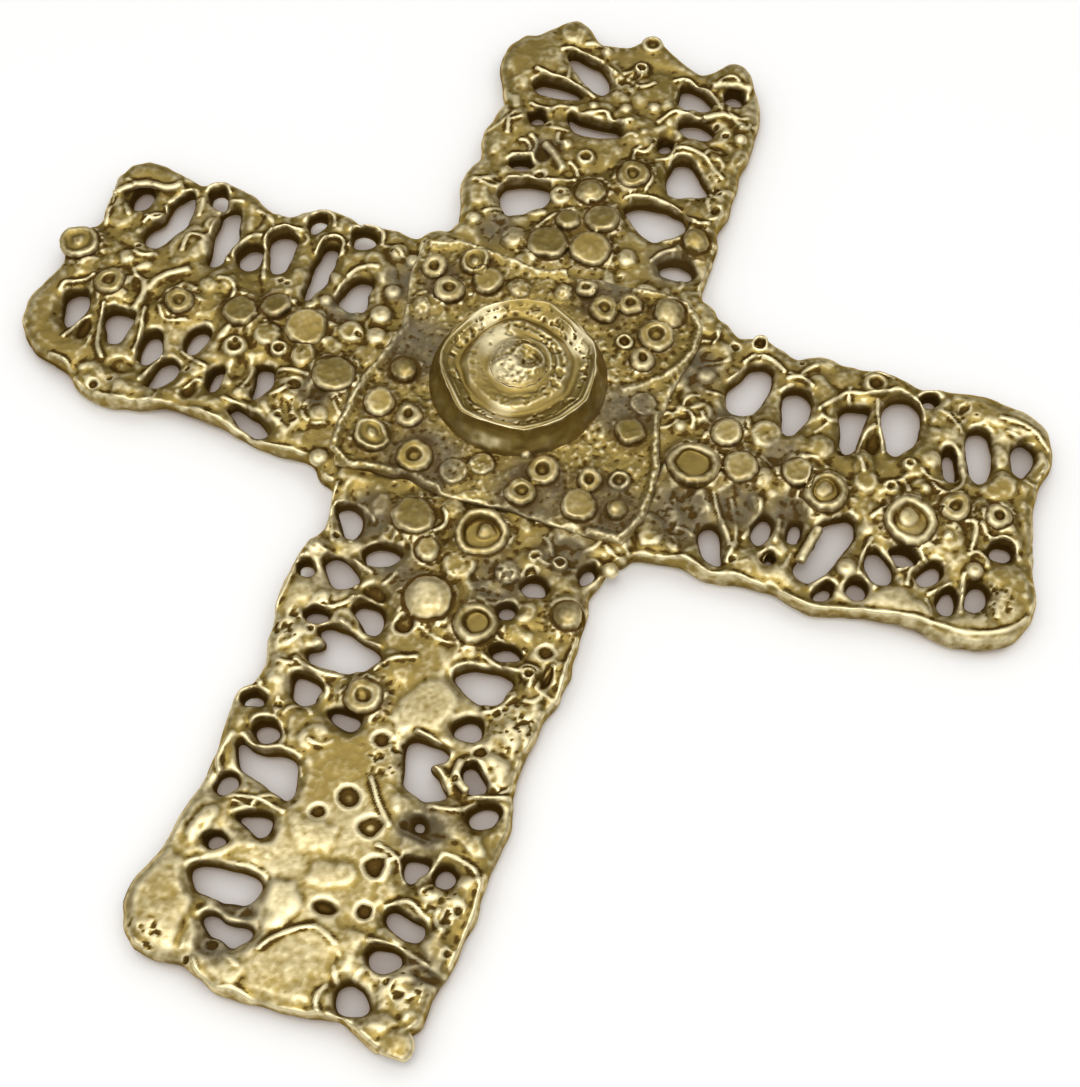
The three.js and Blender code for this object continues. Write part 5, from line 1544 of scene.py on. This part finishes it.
def wall_paint():
    """Pale paint, with painted shade close to the cross, that is seen from the front only, and not by the
    back of the cross close to it.
    """
    paint = bpy.data.materials.new("pale wall")
    paint.use_nodes = True
    tree = paint.node_tree
    sums = partial(mathed, tree)
    place = noded(tree, "ShaderNodeTexCoord", out="Object")
    parts = noded(tree, "ShaderNodeSeparateXYZ", {0: place}, out=None).outputs

    def within(axis, middle, half):
        off = sums("SUBTRACT", parts[axis], middle * MM)
        size = noded(tree, "ShaderNodeMath", {0: off}, operation="ABSOLUTE")
        return ranged(tree, size, (half - 2) * MM, (half + 2) * MM, 1.0, 0.0)

    bars = [sums("MULTIPLY", *(within(*side) for side in bar)) for bar in (UPRIGHT, CROSSBAR)]

    # Painted shade: close to the cross the wall's colour is darkened by ambient occlusion, and the open
    # ground round it stays light
    open_ground = sums("SUBTRACT", 1.0, sums("MAXIMUM", *bars))
    reach = {"Distance": SHADE_REACH * MM}
    close = noded(tree, "ShaderNodeAmbientOcclusion", reach, "AO", samples=12)
    shade = ranged(tree, close, 0.1, 0.8, kind="LINEAR")
    lit = sums("MAXIMUM", shade, sums("MULTIPLY", open_ground, 0.85))
    shader = tree.nodes["Principled BSDF"]
    shader.inputs["Roughness"].default_value = 0.9
    tint = mixed(tree, lit, WALL_SHADED, WALL_LIT)
    tree.links.new(tint, shader.inputs["Base Color"])

    # The wall glows faintly, and is clear from behind and to very short rays
    glow = noded(tree, "ShaderNodeEmission", {"Color": WALL_GLOW, "Strength": 0.05})
    both = noded(tree, "ShaderNodeAddShader", {0: shader.outputs[0], 1: glow})
    behind = noded(tree, "ShaderNodeNewGeometry", out="Backfacing")
    length = noded(tree, "ShaderNodeLightPath", out="Ray Length")
    clear = sums("MAXIMUM", behind, sums("LESS_THAN", length, SHORT_RAY * MM))
    glass = noded(tree, "ShaderNodeBsdfTransparent")
    seen = noded(tree, "ShaderNodeMixShader", {0: clear, 1: both, 2: glass})
    tree.links.new(seen, tree.nodes["Material Output"].inputs["Surface"])
    return paint


def studio_world(settings):
    """A white surround for the eye, and a sky for the metal to mirror.

    The sky is bright over the camera's side and, for the back of the cross, behind the wall.
    """
    world = bpy.data.worlds.new("studio")
    bpy.context.scene.world = world
    world.use_nodes = True
    tree = world.node_tree
    place = noded(tree, "ShaderNodeTexCoord", out="Generated")
    lit_from = (Vector((0, -1, 0)) + camera_axes()[2] * 1.1).normalized()
    pair = {0: place, 1: lit_from}
    towards = noded(tree, "ShaderNodeVectorMath", pair, "Value", operation="DOT_PRODUCT")
    gone, full = (math.cos(math.radians(angle)) for angle in (SKY_GONE, SKY_FULL))
    fall = ranged(tree, towards, gone, full, settings.horizon, settings.sky)
    behind = noded(tree, "ShaderNodeSeparateXYZ", {0: place}, out="Y")
    rear = ranged(tree, behind, 0.1, 0.7, 0.0, settings.rear, kind="LINEAR")
    sky = {"Color": SKY_COLOUR, "Strength": mathed(tree, "MAXIMUM", fall, rear)}

    # The metal mirrors the sky, the wall takes a soft light, and the camera sees white
    rays = noded(tree, "ShaderNodeLightPath", out=None).outputs
    shiny = mathed(tree, "MAXIMUM", rays["Is Glossy Ray"], rays["Is Transmission Ray"])
    soft = noded(tree, "ShaderNodeBackground", {"Strength": 1.1})
    mirrored = noded(tree, "ShaderNodeBackground", sky)
    first = noded(tree, "ShaderNodeMixShader", {0: shiny, 1: soft, 2: mirrored})
    white = noded(tree, "ShaderNodeBackground", {"Strength": 1.0})
    second = noded(tree, "ShaderNodeMixShader", {0: rays["Is Camera Ray"], 1: first, 2: white})
    tree.links.new(second, tree.nodes["World Output"].inputs["Surface"])


def lamp(name, place, aim, size, power):
    """A square soft lamp at `place` that points at `aim`, in metres."""
    light = bpy.data.lights.new(name, "AREA")
    light.size = size
    light.energy = power
    obj = bpy.data.objects.new(name, light)
    obj.location = place
    obj.rotation_euler = (Vector(aim) - Vector(place)).to_track_quat("-Z", "Y").to_euler()
    bpy.context.scene.collection.objects.link(obj)


class CROSS_OT_stage(bpy.types.Operator):
    """Sets up the pale wall, the lamp and the photograph's camera"""

    bl_idname = "wall_cross.stage"
    bl_label = "Set the stage"

    def execute(self, context):
        scene = context.scene
        settings = scene.cross_stage
        half = settings.wall_size / 2
        y = WALL_GAP * MM
        corners = [(-half, y, -half), (half, y, -half), (half, y, half), (-half, y, half)]
        wall_mesh = bpy.data.meshes.new("pale_wall")
        wall_mesh.from_pydata(corners, [], [(0, 1, 2, 3)])
        wall_mesh.materials.append(wall_paint())
        link("pale_wall", wall_mesh)
        studio_world(settings)
        lamp("overhead", LAMP_PLACE, LAMP_AIM, LAMP_SIZE, settings.key)
        camera = bpy.data.cameras.new("camera")
        camera.lens = settings.lens
        camera.sensor_width = 36
        right, up, back = camera_axes()
        aim = Vector((CAMERA_AIM[0], -ARM_FRONT, CAMERA_AIM[1])) * MM
        viewer = bpy.data.objects.new("camera", camera)
        spin = Matrix((right, up, back)).transposed().to_4x4()
        viewer.matrix_world = Matrix.Translation(aim + back * CAMERA_FAR * MM) @ spin
        scene.collection.objects.link(viewer)
        scene.camera = viewer
        scene.view_settings.view_transform = "Standard"
        return {"FINISHED"}


# Add-on


class CROSS_PT_panel(bpy.types.Panel):
    """Lists the steps that make the wall cross"""

    bl_label = "Wall Cross"
    bl_idname = "CROSS_PT_panel"
    bl_space_type = "VIEW_3D"
    bl_region_type = "UI"
    bl_category = "Wall Cross"

    def draw(self, context):
        for step in STEPS:
            self.layout.operator(step.bl_idname)


SETTINGS = {
    "cross_casting": CastSettings,
    "cross_pellets": PelletSettings,
    "cross_boss": BossSettings,
    "cross_brass": BrassSettings,
    "cross_stage": StageSettings,
}
STEPS = (
    CROSS_OT_casting,
    CROSS_OT_plaque,
    CROSS_OT_boss,
    CROSS_OT_pellets,
    CROSS_OT_eye,
    CROSS_OT_stage,
)


def register():
    """Registers the settings, the steps and the panel."""
    for name, group in SETTINGS.items():
        bpy.utils.register_class(group)
        setattr(bpy.types.Scene, name, PointerProperty(type=group))
    for made in (*STEPS, CROSS_PT_panel):
        bpy.utils.register_class(made)


def unregister():
    """Takes everything that register added away again."""
    for made in (CROSS_PT_panel, *reversed(STEPS)):
        bpy.utils.unregister_class(made)
    for name, group in reversed(SETTINGS.items()):
        delattr(bpy.types.Scene, name)
        bpy.utils.unregister_class(group)


def main():
    """Makes the cross and its stage."""
    register()
    bpy.ops.wall_cross.casting()
    bpy.ops.wall_cross.plaque()
    bpy.ops.wall_cross.boss()
    bpy.ops.wall_cross.pellets()
    bpy.ops.wall_cross.eye()
    bpy.ops.wall_cross.stage()


if __name__ == "__main__":
    main()
